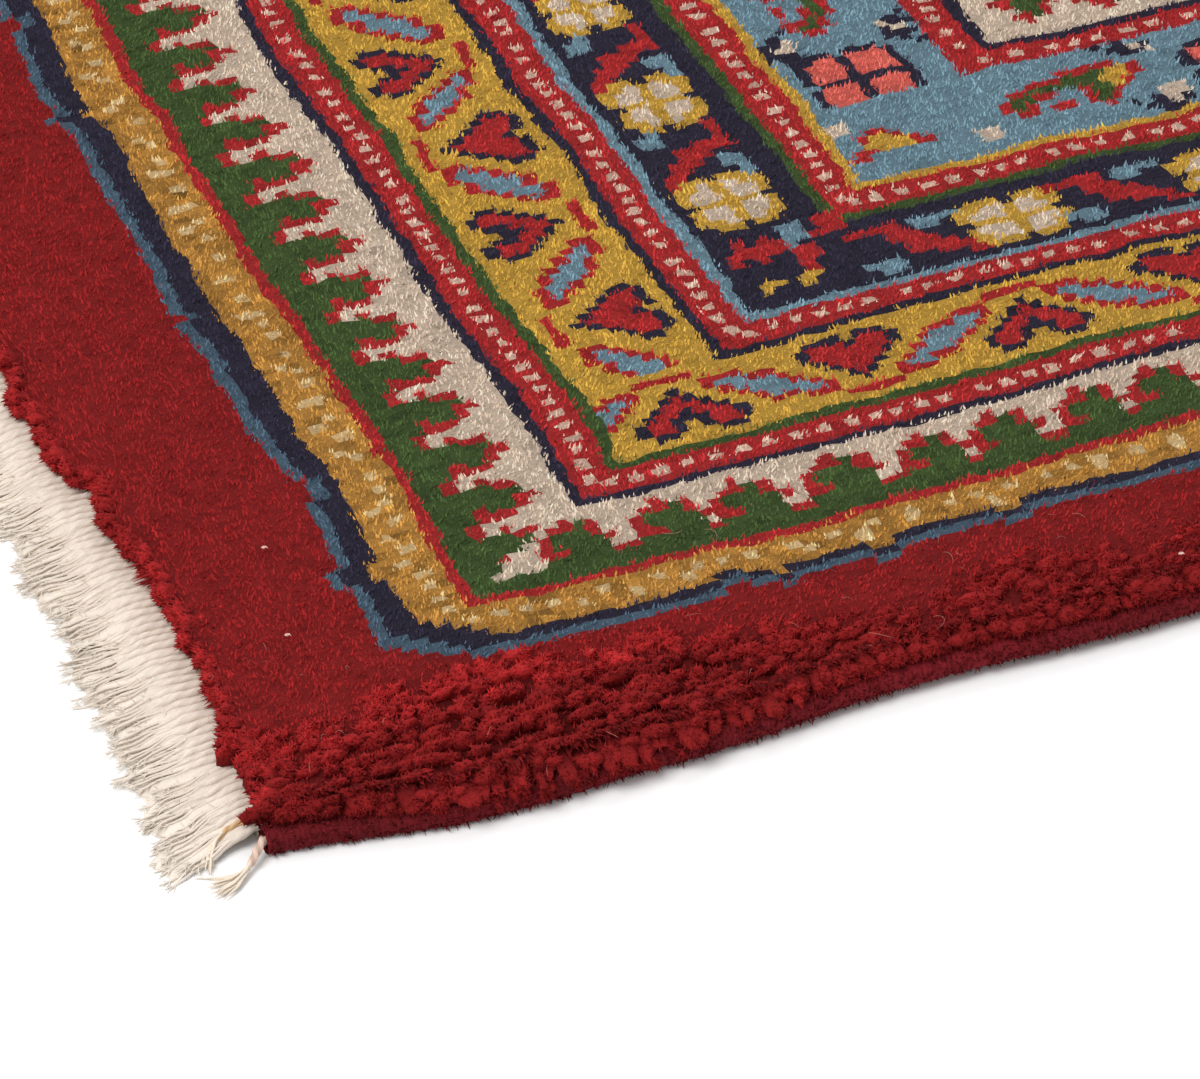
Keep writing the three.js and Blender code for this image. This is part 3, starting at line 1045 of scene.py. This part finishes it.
def wall_piece(name, material, seen):
    """Tufts that point out of the sides of the pile, closely set where they are seen."""
    random = np.random.default_rng(37)
    place, outward = wall_places(seen, random)
    total = len(place)
    x, y = place[:, 0], place[:, 1]
    at_long_edge = np.abs(outward[:, 1]) > 0
    lowest = np.where(at_long_edge, 5.2 * MM, 3.6 * MM)
    share = random.random(total)
    height = lowest + (10.6 * MM - lowest) * share
    along = np.where(at_long_edge, x, y)
    bulge = lattice_noise(along, height, 6 * MM, 95) + 0.6 * line_noise(along, 15 * MM, 96)
    overhang = 2.8 * overhang_at(x) * at_long_edge
    middling = 1 - np.abs(2 * share - 1)
    length = (2.1 + overhang * middling + 0.7 * bulge + 0.4 * random.standard_normal(total)) * MM
    droop = np.where(at_long_edge, 1.6 * share - 0.85, 1.2 * share - 0.5)
    if seen:
        for middle, reach in STRAY_TUFTS:
            near = ~at_long_edge & (np.abs(y - FRONT - middle) < 2.6 * MM) & (share > 0.2)
            length = np.where(near, reach * (1 - 0.35 * random.random(total)), length)
            droop = np.where(near, -0.25, droop)
    spread = 0.22 * random.standard_normal((total, 3))
    leaning = unit(np.stack([outward[:, 0], outward[:, 1], droop], 1) + spread)
    roots = on_cloth(x, y, height)
    tips = roots + leaning * np.maximum(length, 0.9 * MM)[:, None]
    keep_above(tips, 0.6 * MM)
    # Painted light and shade: tufts of the end walls lighter than those of the long walls, as light falls
    # on the end in view; tufts higher up and those that bulge out lighter, lower ones in shade. The rest is
    # random tone.
    tone = np.where(at_long_edge, 0.6, 0.8) + 0.35 * share
    tone = tone + 0.12 * random.standard_normal(total) + 0.1 * bulge
    tint = KNOT_COLOUR[knot_at(x, y)] * tone[:, None]
    radius = (0.45 + 0.15 * random.random(total)) * MM * (1 if seen else 1.7)
    lay = np.stack([outward[:, 0], outward[:, 1], 0.5 + 0.4 * share], 1) * 0.6
    turn = random.random(total) * 2 * np.pi
    mesh = tuft_mesh(name, roots, tips, radius, turn, tint, lay, 0.4)
    return add_piece(name, mesh, material)


def tubes(paths, radius, phase, pitch, lobes, sides, groove_depth=0.16):
    """Twisted strands along paths of shape (strands, rings, 3). A strand of two plies has two lobes.
    Besides points and faces it gives a painted shade, darker in the grooves between the plies.
    """
    strands, rings, _ = paths.shape
    ahead = unit(np.gradient(paths, axis=1))
    side = np.cross(ahead, np.array((0.0, 0.0, 1.0)))
    side = side / np.maximum(np.linalg.norm(side, axis=2, keepdims=True), 1e-9)
    above = np.cross(side, ahead)
    steps = np.linalg.norm(np.diff(paths, axis=1), axis=2)
    length = np.concatenate([np.zeros((strands, 1)), np.cumsum(steps, 1)], 1)
    angle = around(sides)
    twist = phase[:, None] + 2 * np.pi * length / pitch
    turning = np.cos(lobes * (angle[None, None, :] - twist[:, :, None]))
    reach = radius[:, :, None] * (1 - groove_depth * (0.5 - 0.5 * turning))
    points = (
        paths[:, :, None, :]
        + (reach * np.cos(angle))[..., None] * side[:, :, None, :]
        + (reach * np.sin(angle))[..., None] * above[:, :, None, :]
    )
    # Painted shade in the grooves of the twist
    groove_shade = 1 - 1.3 * groove_depth * (0.5 - 0.5 * turning)
    return points.reshape(-1, 3), ring_faces(strands, rings, sides), groove_shade.ravel()


def shaded_dye(part, dye):
    """A part with its painted shades turned into colours. The dye is one for all points, or one for each.
    """
    points, faces, shade = part
    return points, faces, shade[:, None] * dye


def joined_piece(name, parts, material):
    """One piece from parts that are points, faces and colours. None of it is below the floor."""
    starts = np.cumsum([0] + [len(points) for points, _, _ in parts])
    points = np.concatenate([points for points, _, _ in parts])
    keep_above(points, 0)
    faces = np.concatenate([faces + start for (_, faces, _), start in zip(parts, starts)])
    mesh = build_mesh(name, points, faces)
    add_colour_layer(mesh, np.concatenate([colours for _, _, colours in parts]), "POINT")
    return add_piece(name, mesh, material)


COTTON = linear((224, 210, 196))
BRUSHED_COTTON = linear((238, 228, 216))
STRAND_RADIUS = 1.3 * MM
STRAND_ROOT_HEIGHT = 3.6 * MM


def strand_paths(end, chosen, rings, random):
    """Warp pairs that leave the end strip, fall to the floor and lie there side by side."""
    count = len(chosen)
    y = FRONT + (chosen + 0.5) * KNOT_PITCH
    bunch = 2.1 * MM * line_noise(y, 9 * MM, 51) + 0.8 * MM * random.standard_normal(count)
    veer = -9.0 * MM * np.exp(-(y - FRONT) / (11 * MM))
    uneven = 2.2 * MM * line_noise(y, 17 * MM, 52) + 1.3 * MM * random.standard_normal(count)
    if end < 0:
        uneven = uneven + profile(y - FRONT, (0, 15, 40, 125, 150), (2.5, 2.0, -3.0, -3.0, 0)) * MM
    along = np.linspace(0, 1, rings)[None, :]
    start = 9 * MM
    reach = -start + (start + STRIP_WIDTH + FRINGE_LENGTH + uneven)[:, None] * along
    outside = np.maximum(0, reach)
    together = lattice_noise(y[:, None], outside, 7 * MM, 53)
    waves = np.sin(2 * np.pi * (outside / (9 * MM) + random.random((count, 1))))
    sway = (0.75 * MM * together + 0.3 * MM * waves) * np.minimum(1, outside / (4 * MM))
    aside = bunch[:, None] * along ** 1.3 + veer[:, None] * along ** 1.6 + sway
    rest = STRAND_RADIUS * 0.9
    fall = np.exp(-(outside / (8 * MM)) ** 1.6)
    ripple = 0.7 * MM * np.abs(lattice_noise(y[:, None], outside, 6 * MM, 54))
    over = 0.5 * MM * random.random((count, 1)) * np.minimum(1, outside / (3 * MM))
    height = rest + (STRAND_ROOT_HEIGHT - rest) * fall + (ripple + over) * (1 - along)
    x = end * (LENGTH / 2 + reach) + row_drift(y)[:, None]
    across = y[:, None] + aside + warp_drift(np.array(end * LENGTH / 2))
    return np.stack([x, across, height], -1), along


def along_paths(paths, chosen, share):
    """Places on the chosen paths at shares of their length, between the two nearest rings."""
    at = np.clip(share, 0, 1) * (paths.shape[1] - 1)
    low = np.minimum(at.astype(int), paths.shape[1] - 2)
    part = (at - low)[..., None]
    return paths[chosen, low] * (1 - part) + paths[chosen, low + 1] * part


def loose_yarns(paths, plies, points_each, random):
    """Each strand comes apart into thin yarns, which wander to a brushed end."""
    count = len(paths)
    start = 0.35 + 0.2 * random.random((count, plies, 1))
    stop = 0.8 + 0.3 * random.random((count, plies, 1))
    t = start + (stop - start) * np.linspace(0, 1, points_each)
    centre = along_paths(paths, np.arange(count)[:, None, None], t)
    beyond = np.maximum(0, t - 1)[..., None] * (paths[:, -1] - paths[:, 0])[:, None, None, :]
    turn = around(plies)[None, :, None] + 2.5 * t + FULL_TURN * random.random((count, 1, 1))
    spread = (0.55 + 1.25 * (t - start) / 0.7) * MM
    wander = 0.55 * MM * np.sin(2 * np.pi * (1.7 * t + random.random((count, plies, 1)))) * (t - start)
    yarns = centre + beyond
    yarns[..., 1] += spread * np.cos(turn) + wander
    yarns[..., 2] += 0.55 * spread * np.sin(turn) - 0.3 * MM * (t - start)
    keep_above(yarns, 0.4 * MM)
    return yarns.reshape(count * plies, points_each, 3)


def hairs(roots, heading, length, random, radius):
    """Short curved hairs of three segments that lie down towards the floor."""
    total = len(roots)
    t = np.linspace(0, 1, 4)[None, :, None]
    curl = random.standard_normal((total, 1)) * 0.8 * MM
    hair = roots[:, None, :] + heading[:, None, :] * length[:, None, None] * t
    hair[..., 1] += curl * t[..., 0] ** 2
    keep_above(hair, 0.2 * MM)
    taper = np.repeat(radius * np.array((1, 0.9, 0.7, 0.15))[None, :], total, axis=0)
    return tubes(hair, taper, np.zeros(total), 1.0, 0, 3)


def cotton_felt(paths):
    """The matted fluff under the brushed ends: a low, ragged layer that follows the strands."""
    strands, columns, rows = len(paths), len(paths) * 4, 15
    at = np.linspace(0, strands - 1, columns)
    low = np.minimum(at.astype(int), strands - 2)
    part = (at - low)[:, None, None]
    centre = paths[low] * (1 - part) + paths[low + 1] * part
    along = np.linspace(0.06, 1.0, rows)
    ragged = 1 + 0.06 * line_noise(at, 1.4, 55)[:, None] * along
    points = along_paths(centre, np.arange(columns)[:, None], along * ragged)
    rough = lattice_noise(0.3 * points[..., 0], points[..., 1], 1.0 * MM, 56)
    swell = np.interp(along, (0.06, 0.6, 0.85, 1.0), (1.0, 1.25, 1.1, 0.1))
    points[..., 2] = np.maximum(0.1 * MM, (points[..., 2] - (0.25 - 0.35 * rough) * MM) * swell)
    number = numbered(columns, rows)
    faces = quads(number[1:, :-1], number[1:, 1:], number[:-1, 1:], number[:-1, :-1])
    # Painted shade: darker in the hollows of the felt, lighter on its rises
    shade = 0.9 + 0.1 * rough
    return points.reshape(-1, 3), faces, shade.ravel()


SEEN_STRANDS = 84
SEEN_RINGS = 26  # along a strand that is seen closely
SOLID_RINGS = 16  # of these, before its plies come apart
YARNS = 5
YARN_RINGS = 8
TIP_HAIRS = 4
FLUFF_SHARE = 0.62  # of the points of the yarns that carry a hair
PLAIN_RINGS = 7


def brushed_paler(part):
    """Colours of a part of the fringe, which is paler further out, where it is brushed."""
    outside = np.clip((LEFT - part[0][:, 0]) / (22 * MM), 0, 1)[:, None]
    return shaded_dye(part, COTTON * (1 - outside) + BRUSHED_COTTON * outside)


def brushed_fringe(name, material, chosen):
    """The fringe as it is seen closely: strands that come apart into yarns and brushed cotton."""
    random = np.random.default_rng(43)
    count = len(chosen)
    paths, along = strand_paths(-1, chosen, SEEN_RINGS, random)
    taper = np.interp(along[0, :SOLID_RINGS], (0, 0.45, 0.62), (1, 0.85, 0.25))
    radius = STRAND_RADIUS * taper[None, :] * (0.78 + 0.3 * random.random((count, 1)))
    pitch = (6 + 4 * random.random((count, 1))) * MM
    turn = random.random(count) * FULL_TURN
    parts = [tubes(paths[:, :SOLID_RINGS], radius, turn, pitch, 2, 7, 0.13)]

    yarns = loose_yarns(paths, YARNS, YARN_RINGS, random)
    thick = (0.5 + 0.25 * random.random((len(yarns), 1))) * MM
    taper = np.interp(np.linspace(0, 1, YARN_RINGS), (0, 0.1, 0.7, 1), (0.7, 1, 0.85, 0.3))
    turn = random.random(len(yarns)) * FULL_TURN
    parts.append(tubes(yarns, thick * taper, turn, 2.5 * MM, 0, 3))

    tips = np.repeat(yarns[:, -2], TIP_HAIRS, axis=0)
    ahead = np.repeat(unit(yarns[:, -1] - yarns[:, -3]), TIP_HAIRS, axis=0)
    heading = unit(ahead + random.standard_normal((len(tips), 3)) * (0.3, 0.45, 0.1))
    length = (1.5 + 2.5 * random.random(len(tips))) * MM
    parts.append(hairs(tips, heading, length, random, 0.16 * MM))

    roots = yarns[:, 2:-1].reshape(-1, 3)
    roots = roots[random.random(len(roots)) < FLUFF_SHARE]
    astray = random.standard_normal((len(roots), 3)) * (0.5, 0.6, 0.3)
    heading = unit(np.array((-0.8, 0, 0.12)) + astray)
    length = (1.2 + 2 * random.random(len(roots))) * MM
    parts.append(hairs(roots, heading, length, random, 0.12 * MM))
    parts.append(cotton_felt(paths))
    return joined_piece(name, [brushed_paler(part) for part in parts], material)


def plain_fringe(end, name, material, chosen):
    """The fringe out of the picture: one tapered strand for each warp pair, with a split end."""
    random = np.random.default_rng(47 + end)
    count = len(chosen)
    paths, along = strand_paths(end, chosen, PLAIN_RINGS, random)
    taper = np.interp(along[0], (0, 0.7, 1), (1, 0.9, 0.35))
    radius = STRAND_RADIUS * taper[None, :] * (0.94 + 0.12 * random.random((count, 1)))
    strands = tubes(paths, radius, random.random(count) * FULL_TURN, 9 * MM, 2, 4)
    heading = unit(np.array((end, 0, 0)) + random.standard_normal((count, 3)) * (0.2, 0.4, 0.05))
    length = (3 + 3 * random.random(count)) * MM
    split_ends = hairs(paths[:, -2], heading, length, random, 0.4 * MM)
    return joined_piece(name, [shaded_dye(strands, COTTON), shaded_dye(split_ends, COTTON)], material)


SELVEDGE_WRAP = 1.25 * MM
SELVEDGE_SIDES = 10
SELVEDGE_DYE = linear((112, 26, 32))
SEEN_EDGE = 240 * MM
WRAP_RINGS = 2.6  # rings of points for each wrap where it is seen
PLAIN_EDGE_RINGS = 280  # along the rest of a cord
EDGE_FIBRES = 8000
SQUARENESS = 3.2  # power of the cord's rounded outline


def selvedge_surface(side, x):
    """Points round the overcast cord at each x, and how far up its wraps they stand."""
    angle = around(SELVEDGE_SIDES)
    wobble = 0.16 * line_noise(x, 5 * MM, 61)[:, None]
    ridge = np.abs(np.sin(np.pi * (x[:, None] / SELVEDGE_WRAP + 0.16 * angle[None, :] + wobble)))
    uneven = 1 + 0.05 * line_noise(x, 8 * MM, 62)[:, None]
    squarer = np.abs(np.cos(angle)) ** SQUARENESS + np.abs(np.sin(angle)) ** SQUARENESS
    bulge = squarer ** (-1 / SQUARENESS)
    swell = uneven * bulge * (0.91 + 0.07 * ridge)
    middle = side * (WIDTH / 2 + GAP + SELVEDGE_WIDTH / 2)
    y = middle + SELVEDGE_WIDTH / 2 * swell * np.cos(angle)
    z = np.maximum(SELVEDGE_HEIGHT / 2 * (1 + swell * np.sin(angle)), 0)
    flare = edge_shift(FLARES, side, x, middle)[:, None]
    raised = edge_shift(LIFTS, side, x, middle)[:, None]
    drift_x = row_drift(np.array(middle))
    across = np.repeat(x[:, None], SELVEDGE_SIDES, 1) + drift_x
    return np.stack([across, y + warp_drift(x)[:, None] + side * flare, z + raised], -1), ridge


def selvedge_piece(side, name, material, fine_length):
    """Overcast side cord. Its wraps stand up as ridges where they are seen closely."""
    fine = np.arange(LEFT, LEFT + fine_length, SELVEDGE_WRAP / WRAP_RINGS)
    coarse = np.linspace(LEFT + fine_length, RIGHT, PLAIN_EDGE_RINGS)
    x = np.concatenate([fine, coarse])
    points, ridge = selvedge_surface(side, x)
    number = numbered(*ridge.shape)
    after = np.roll(number, -1, axis=1)
    faces = quads(number[:-1], number[1:], after[1:], after[:-1])
    if side < 0:
        faces = faces[:, ::-1]
    brighter = profile(x - LEFT, (60, 150), (1, 1.25))
    uneven = 0.16 * line_noise(x, 14 * MM, 63)
    # Painted shade: darker in the grooves between the wraps, lighter on their ridges. The cord also grows
    # lighter further from the corner and varies a little at random.
    tone = (0.72 + 0.26 * ridge + uneven[:, None]) * brighter[:, None]
    mesh = build_mesh(name, points.reshape(-1, 3), faces)
    add_colour_layer(mesh, tone.reshape(-1, 1) * SELVEDGE_DYE, "POINT")
    return add_piece(name, mesh, material)


def selvedge_fuzz(name, material, length, amount):
    """Short wool fibres that stand off the overcast cord in front."""
    random = np.random.default_rng(53)
    x = np.sort(LEFT + length * random.random(amount))
    points, _ = selvedge_surface(-1, x)
    at = random.integers(0, SELVEDGE_SIDES, amount)
    roots = points[np.arange(amount), at]
    ahead = points[np.arange(amount), (at + 1) % SELVEDGE_SIDES] - roots
    outward = unit(roots - points.mean(1))
    roots = roots + ahead * random.random((amount, 1)) - outward * 0.15 * MM
    wrapped = unit(ahead) * np.where(random.random((amount, 1)) > 0.5, 1, -1)
    heading = unit(wrapped * 0.45 + outward * 0.75 + random.standard_normal((amount, 3)) * 0.5)
    reach = (0.8 + 1.5 * random.random(amount) ** 2) * MM
    tips = roots + heading * reach[:, None]
    keep_above(tips, 0.15 * MM)
    tint = SELVEDGE_DYE * (1.05 + 0.35 * random.standard_normal((amount, 1)))
    radius = (0.2 + 0.2 * random.random(amount)) * MM
    turn = random.random(amount) * FULL_TURN
    mesh = tuft_mesh(name, roots, tips, radius, turn, np.abs(tint), outward * 0.3, 0.6)
    return add_piece(name, mesh, material)


# Specks of lint caught in the pile, from the corner of the cloth
LINT = ((26.3 * MM, 51.3 * MM), (31.5 * MM, 83 * MM), (226.5 * MM, 1.9 * MM))
LINT_DYE = linear((216, 178, 166))
LINT_GIRTH = 0.25 * MM * np.array((0.3, 1, 0.9, 1, 0.9, 0.3))
LINT_SIDES = 6
STRAY_HAIRS = 95
HAIR_GIRTH = 0.033 * MM * np.array((0.5, 1, 1, 1, 1, 1, 0.5))
HAIR_SIDES = 3


def stray_hairs(name, material):
    """Pale curled hairs that lie loosely on the pile and along the front edge."""
    random = np.random.default_rng(59)
    amount, rings = STRAY_HAIRS, len(HAIR_GIRTH)
    x = LEFT + 230 * MM * random.random(amount)
    y = FRONT + 70 * MM * random.random(amount) ** 1.5 - 5 * MM
    height = profile(y - FRONT, (-6, -1, 2), (4 * MM, 8 * MM, 11.8 * MM))
    middle = on_cloth(x, y, height)
    turn, bend = random.random(amount) * FULL_TURN, random.standard_normal(amount) * 0.5
    length = (2 + 5 * random.random(amount) ** 2) * MM
    t = np.linspace(-0.5, 0.5, rings)[None, :]
    heading = turn[:, None] + bend[:, None] * 5 * t
    step = (length / (rings - 1))[:, None]
    along, across = np.cumsum(np.cos(heading) * step, 1), np.cumsum(np.sin(heading) * step, 1)
    path = np.stack([along, across, np.broadcast_to(0.8 * MM * np.cos(np.pi * t), along.shape)], -1)
    path = path + middle[:, None, :]
    pale = np.where(random.random((amount, 1)) > 0.6, linear((208, 150, 135)), linear((185, 66, 64)))
    hair = tubes(path, np.tile(HAIR_GIRTH, (amount, 1)), turn, 1.0, 0, HAIR_SIDES)
    parts = [shaded_dye(hair, np.repeat(pale, rings * HAIR_SIDES, axis=0))]
    for place in LINT:
        t = np.linspace(0, 1, len(LINT_GIRTH))
        curl = np.stack([0.7 * np.cos(5 * t), 0.5 * np.sin(5 * t), 0.8 * t], 1) * MM
        speck = on_cloth(LEFT + place[0], FRONT + place[1], PILE_TOP - 0.2 * MM) + curl
        parts.append(shaded_dye(tubes(speck[None], LINT_GIRTH[None], np.zeros(1), 1.0, 0, LINT_SIDES), LINT_DYE))
    return joined_piece(name, parts, material)


# Cords at the very corner: waypoints from the corner of the cloth, in millimetres
END_CORD = (
    (0.6, -4.6, 4.2),
    (-1.5, -6.2, 3.4),
    (-3.6, -8.4, 2.4),
    (-6.0, -10.6, 1.7),
    (-9.6, -12.4, 1.2),
    (-14, -13, 0.9),
)
TAN_CORD = (
    (0.4, 2.0, 4.6),
    (-2.8, 2.6, 4.0),
    (-5.7, 2.4, 3.2),
    (-9.2, 0.6, 2.2),
    (-11.6, -2.2, 1.5),
    (-13.2, -5.4, 1.0),
)
CORD_RINGS = 30
FIRM_RINGS = 20  # of these, before the cord comes apart
LOOSE_FROM = 14  # the ring that its loose plies start from
CORD_PLIES = 18


def corner_cords(name, material):
    """Two twisted cords that end the outermost warps, with their loose ends."""
    random = np.random.default_rng(61)
    parts = []
    for waypoints, screen, size in ((END_CORD, (226, 196, 178), 1.15), (TAN_CORD, (216, 178, 134), 0.85)):
        marks = np.array(waypoints) * MM + (LEFT, FRONT, 0)
        t = np.linspace(0, len(marks) - 1, CORD_RINGS)
        path = np.stack([np.interp(t, np.arange(len(marks)), marks[:, k]) for k in range(3)], 1)[None]
        taper = np.interp(np.arange(FIRM_RINGS), (0, 10, FIRM_RINGS - 1), (1, 1, 0.5))
        firm = tubes(path[:, :FIRM_RINGS], (size * MM * taper)[None, :], np.zeros(1), 6 * MM, 2, 10, 0.28)
        parts.append(shaded_dye(firm, linear(screen)))
        loose = np.repeat(path[:, LOOSE_FROM:], CORD_PLIES, axis=0)
        along = np.linspace(0, 1, CORD_RINGS - LOOSE_FROM)
        fan, back, up = (random.standard_normal((CORD_PLIES, 1)) * reach * MM for reach in (2.1, 1.1, 0.4))
        loose[..., 1] += fan * along ** 1.4
        loose[..., 0] += back * along ** 1.4
        loose[..., 2] += up
        keep_above(loose, 0.4 * MM)
        thin = 0.4 * MM * np.interp(along, (0, 0.7, 1), (1, 0.9, 0.3))[None, :] * np.ones((CORD_PLIES, 1))
        ends = tubes(loose, thin, np.zeros(CORD_PLIES), 2 * MM, 0, 4)
        parts.append(shaded_dye(ends, linear((232, 218, 200))))
    return joined_piece(name, parts, material)


BACK_STEP = 3  # knots in each facet of the back, both ways
BACK_HEIGHT = 0.15 * MM


def foundation_piece(material):
    """The woven foundation: a thin closed slab whose underside shows the backs of the knots."""
    row_lines = np.append(np.arange(0, ROWS, BACK_STEP), ROWS)
    knot_lines = np.append(np.arange(0, KNOTS, BACK_STEP), KNOTS)
    line_x, line_y = lattice(row_lines, knot_lines)
    x, y = cloth_place(line_x, line_y)
    points = on_cloth(x, y, np.full_like(x, BACK_HEIGHT)).reshape(-1, 3)
    number = numbered(*line_x.shape)
    under = quads(number[:-1, :-1], number[:-1, 1:], number[1:, 1:], number[1:, :-1])
    colours = KNOT_COLOUR[row_lines[:-1]][:, knot_lines[:-1]].reshape(-1, 3)

    border = np.concatenate([number[:-1, 0], number[-1, :-1], number[:0:-1, -1], number[0, :0:-1]])
    rim = points[border] + np.array((0, 0, FOUNDATION - BACK_HEIGHT))
    rim_number = len(points) + np.arange(len(border))
    walls = quads(border, np.roll(border, -1), np.roll(rim_number, -1), rim_number)
    centre = len(points) + len(border)
    fan = np.stack([rim_number, np.roll(rim_number, -1), np.full(len(border), centre)], -1)
    points = np.concatenate([points, rim, [(0, 0, FOUNDATION)]])
    mesh = bpy.data.meshes.new("foundation")
    mesh.from_pydata(points.tolist(), [], under.tolist() + walls.tolist() + fan.tolist())
    plain = linear((200, 190, 172))
    corner_colours = np.concatenate([
        np.repeat(colours, 4, axis=0),
        np.tile(plain, (4 * len(walls), 1)),
        np.tile(plain, (3 * len(fan), 1)),
    ])
    add_colour_layer(mesh, corner_colours, "CORNER")
    return add_piece("foundation", mesh, material)


class Nodes:
    """A short way to wire a material."""

    def __init__(self, name, rough, sheen, sheen_rough):
        self.material = bpy.data.materials.new(name)
        self.material.use_nodes = True
        self.tree = self.material.node_tree
        self.shader = self.tree.nodes["Principled BSDF"]
        self.shader.inputs["Roughness"].default_value = rough
        self.shader.inputs["Sheen Weight"].default_value = sheen
        self.shader.inputs["Sheen Roughness"].default_value = sheen_rough
        self.shader.inputs["Specular IOR Level"].default_value = 0.12

    def add(self, kind, **values):
        node = self.tree.nodes.new(kind)
        for key, value in values.items():
            if key in node.inputs:
                node.inputs[key].default_value = value
            else:
                setattr(node, key, value)
        return node

    def link(self, source, target):
        self.tree.links.new(source, target)


def yarn_material(name, rough, sheen, fibre_size, variation, bump, depth):
    """Dyed yarn: the dye attribute, which holds the painted shade and light of the pieces too, mottled by
    fine fibres, with the same fibres as relief.
    """
    nodes = Nodes(name, rough, sheen, 0.45)
    dye = nodes.add("ShaderNodeAttribute", attribute_name="dye")
    place = nodes.add("ShaderNodeTexCoord")
    fibres = nodes.add("ShaderNodeTexNoise", Scale=1 / fibre_size, Detail=3.0, Roughness=0.65)
    nodes.link(place.outputs["Object"], fibres.inputs["Vector"])
    spread = {"From Min": 0.3, "From Max": 0.7, "To Min": 1 - variation, "To Max": 1 + variation}
    ramp = nodes.add("ShaderNodeMapRange", **spread)
    nodes.link(fibres.outputs["Fac"], ramp.inputs["Value"])
    scaled = nodes.add("ShaderNodeVectorMath", operation="SCALE")
    nodes.link(dye.outputs["Color"], scaled.inputs[0])
    nodes.link(ramp.outputs["Result"], scaled.inputs["Scale"])
    nodes.link(scaled.outputs["Vector"], nodes.shader.inputs["Base Color"])
    nodes.link(dye.outputs["Color"], nodes.shader.inputs["Sheen Tint"])
    if bump:
        relief = nodes.add("ShaderNodeBump", Strength=bump, Distance=depth)
        nodes.link(fibres.outputs["Fac"], relief.inputs["Height"])
        nodes.link(relief.outputs["Normal"], nodes.shader.inputs["Normal"])
    return nodes.material


FLOOR_REACH = 6.0


def make_floor():
    mesh = bpy.data.meshes.new("floor")
    corners = ((-1, -1), (1, -1), (1, 1), (-1, 1))
    mesh.from_pydata([(FLOOR_REACH * x, FLOOR_REACH * y, 0) for x, y in corners], [], [(0, 1, 2, 3)])
    nodes = Nodes("floor", 0.9, 0.0, 0.5)
    nodes.shader.inputs["Base Color"].default_value = (0.93, 0.93, 0.93, 1)
    mesh.materials.append(nodes.material)
    floor = bpy.data.objects.new("floor", mesh)
    bpy.context.scene.collection.objects.link(floor)


def make_light():
    world = bpy.data.worlds.new("studio")
    world.use_nodes = True
    world.node_tree.nodes["Background"].inputs["Color"].default_value = (1, 1, 1, 1)
    world.node_tree.nodes["Background"].inputs["Strength"].default_value = 0.62
    bpy.context.scene.world = world
    for name, place, aim, size, power in (
        ("key", (-1.8, -0.6, 2.2), (-0.6, -0.3, 0), 1.6, 42),
        ("fill", (0.8, 1.6, 2.4), (-0.4, -0.2, 0), 2.0, 30),
    ):
        data = bpy.data.lights.new(name, "AREA")
        data.shape = "DISK"
        data.size = size
        data.energy = power
        lamp = bpy.data.objects.new(name, data)
        lamp.location = place
        away = np.array(aim) - np.array(place)
        level = math.hypot(away[0], away[1])
        lamp.rotation_euler = (math.pi / 2 - math.atan2(-away[2], level), 0, math.atan2(-away[0], away[1]))
        bpy.context.scene.collection.objects.link(lamp)


make_camera()
make_floor()
make_light()
bpy.context.scene.view_settings.view_transform = "Standard"

wool_tufts = yarn_material("wool_tufts", 0.85, 0.3, 0.5 * MM, 0.16, 0, 0)
wool_facets = yarn_material("wool_facets", 0.9, 0.3, 0.6 * MM, 0.3, 0.9, 0.7 * MM)
wool_overcast = yarn_material("wool_overcast", 0.85, 0.2, 0.35 * MM, 0.25, 0.6, 0.3 * MM)
wool_back = yarn_material("wool_back", 0.9, 0.1, 0.6 * MM, 0.25, 0.6, 0.5 * MM)
cotton = yarn_material("cotton", 0.85, 0.15, 0.4 * MM, 0.08, 0.35, 0.2 * MM)

foundation = foundation_piece(wool_back)
piles = [add_piece(f"pile_{i + 1}", pile_zone(i), wool_facets) for i in range(ZONES)]
tufts = tuft_pieces(wool_tufts) + lobe_pieces(wool_facets, wool_tufts)
tufts.append(wall_piece("side_tufts_seen", wool_tufts, True))
tufts.append(wall_piece("side_tufts", wool_tufts, False))
tufts.append(stray_hairs("stray_hairs", wool_tufts))
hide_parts("rug_body")

selvedge_front = selvedge_piece(-1, "overcast_front", wool_overcast, SEEN_EDGE)
selvedge_back = selvedge_piece(1, "overcast_back", wool_overcast, 0)
fuzz = selvedge_fuzz("overcast_fuzz", wool_tufts, SEEN_EDGE, EDGE_FIBRES)
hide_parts("selvedge_front")
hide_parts("selvedge_back")

near = np.arange(SEEN_STRANDS)
far = np.arange(SEEN_STRANDS, KNOTS)
fringe_near = brushed_fringe("fringe_left_near", cotton, near)
fringe_far = plain_fringe(-1, "fringe_left_far", cotton, far)
fringe_right = plain_fringe(1, "fringe_right_strands", cotton, np.arange(KNOTS))
cords = corner_cords("corner_cords", cotton)
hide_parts("fringe_left")
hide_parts("fringe_left")
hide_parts("fringe_right")

bpy.context.view_layer.update()
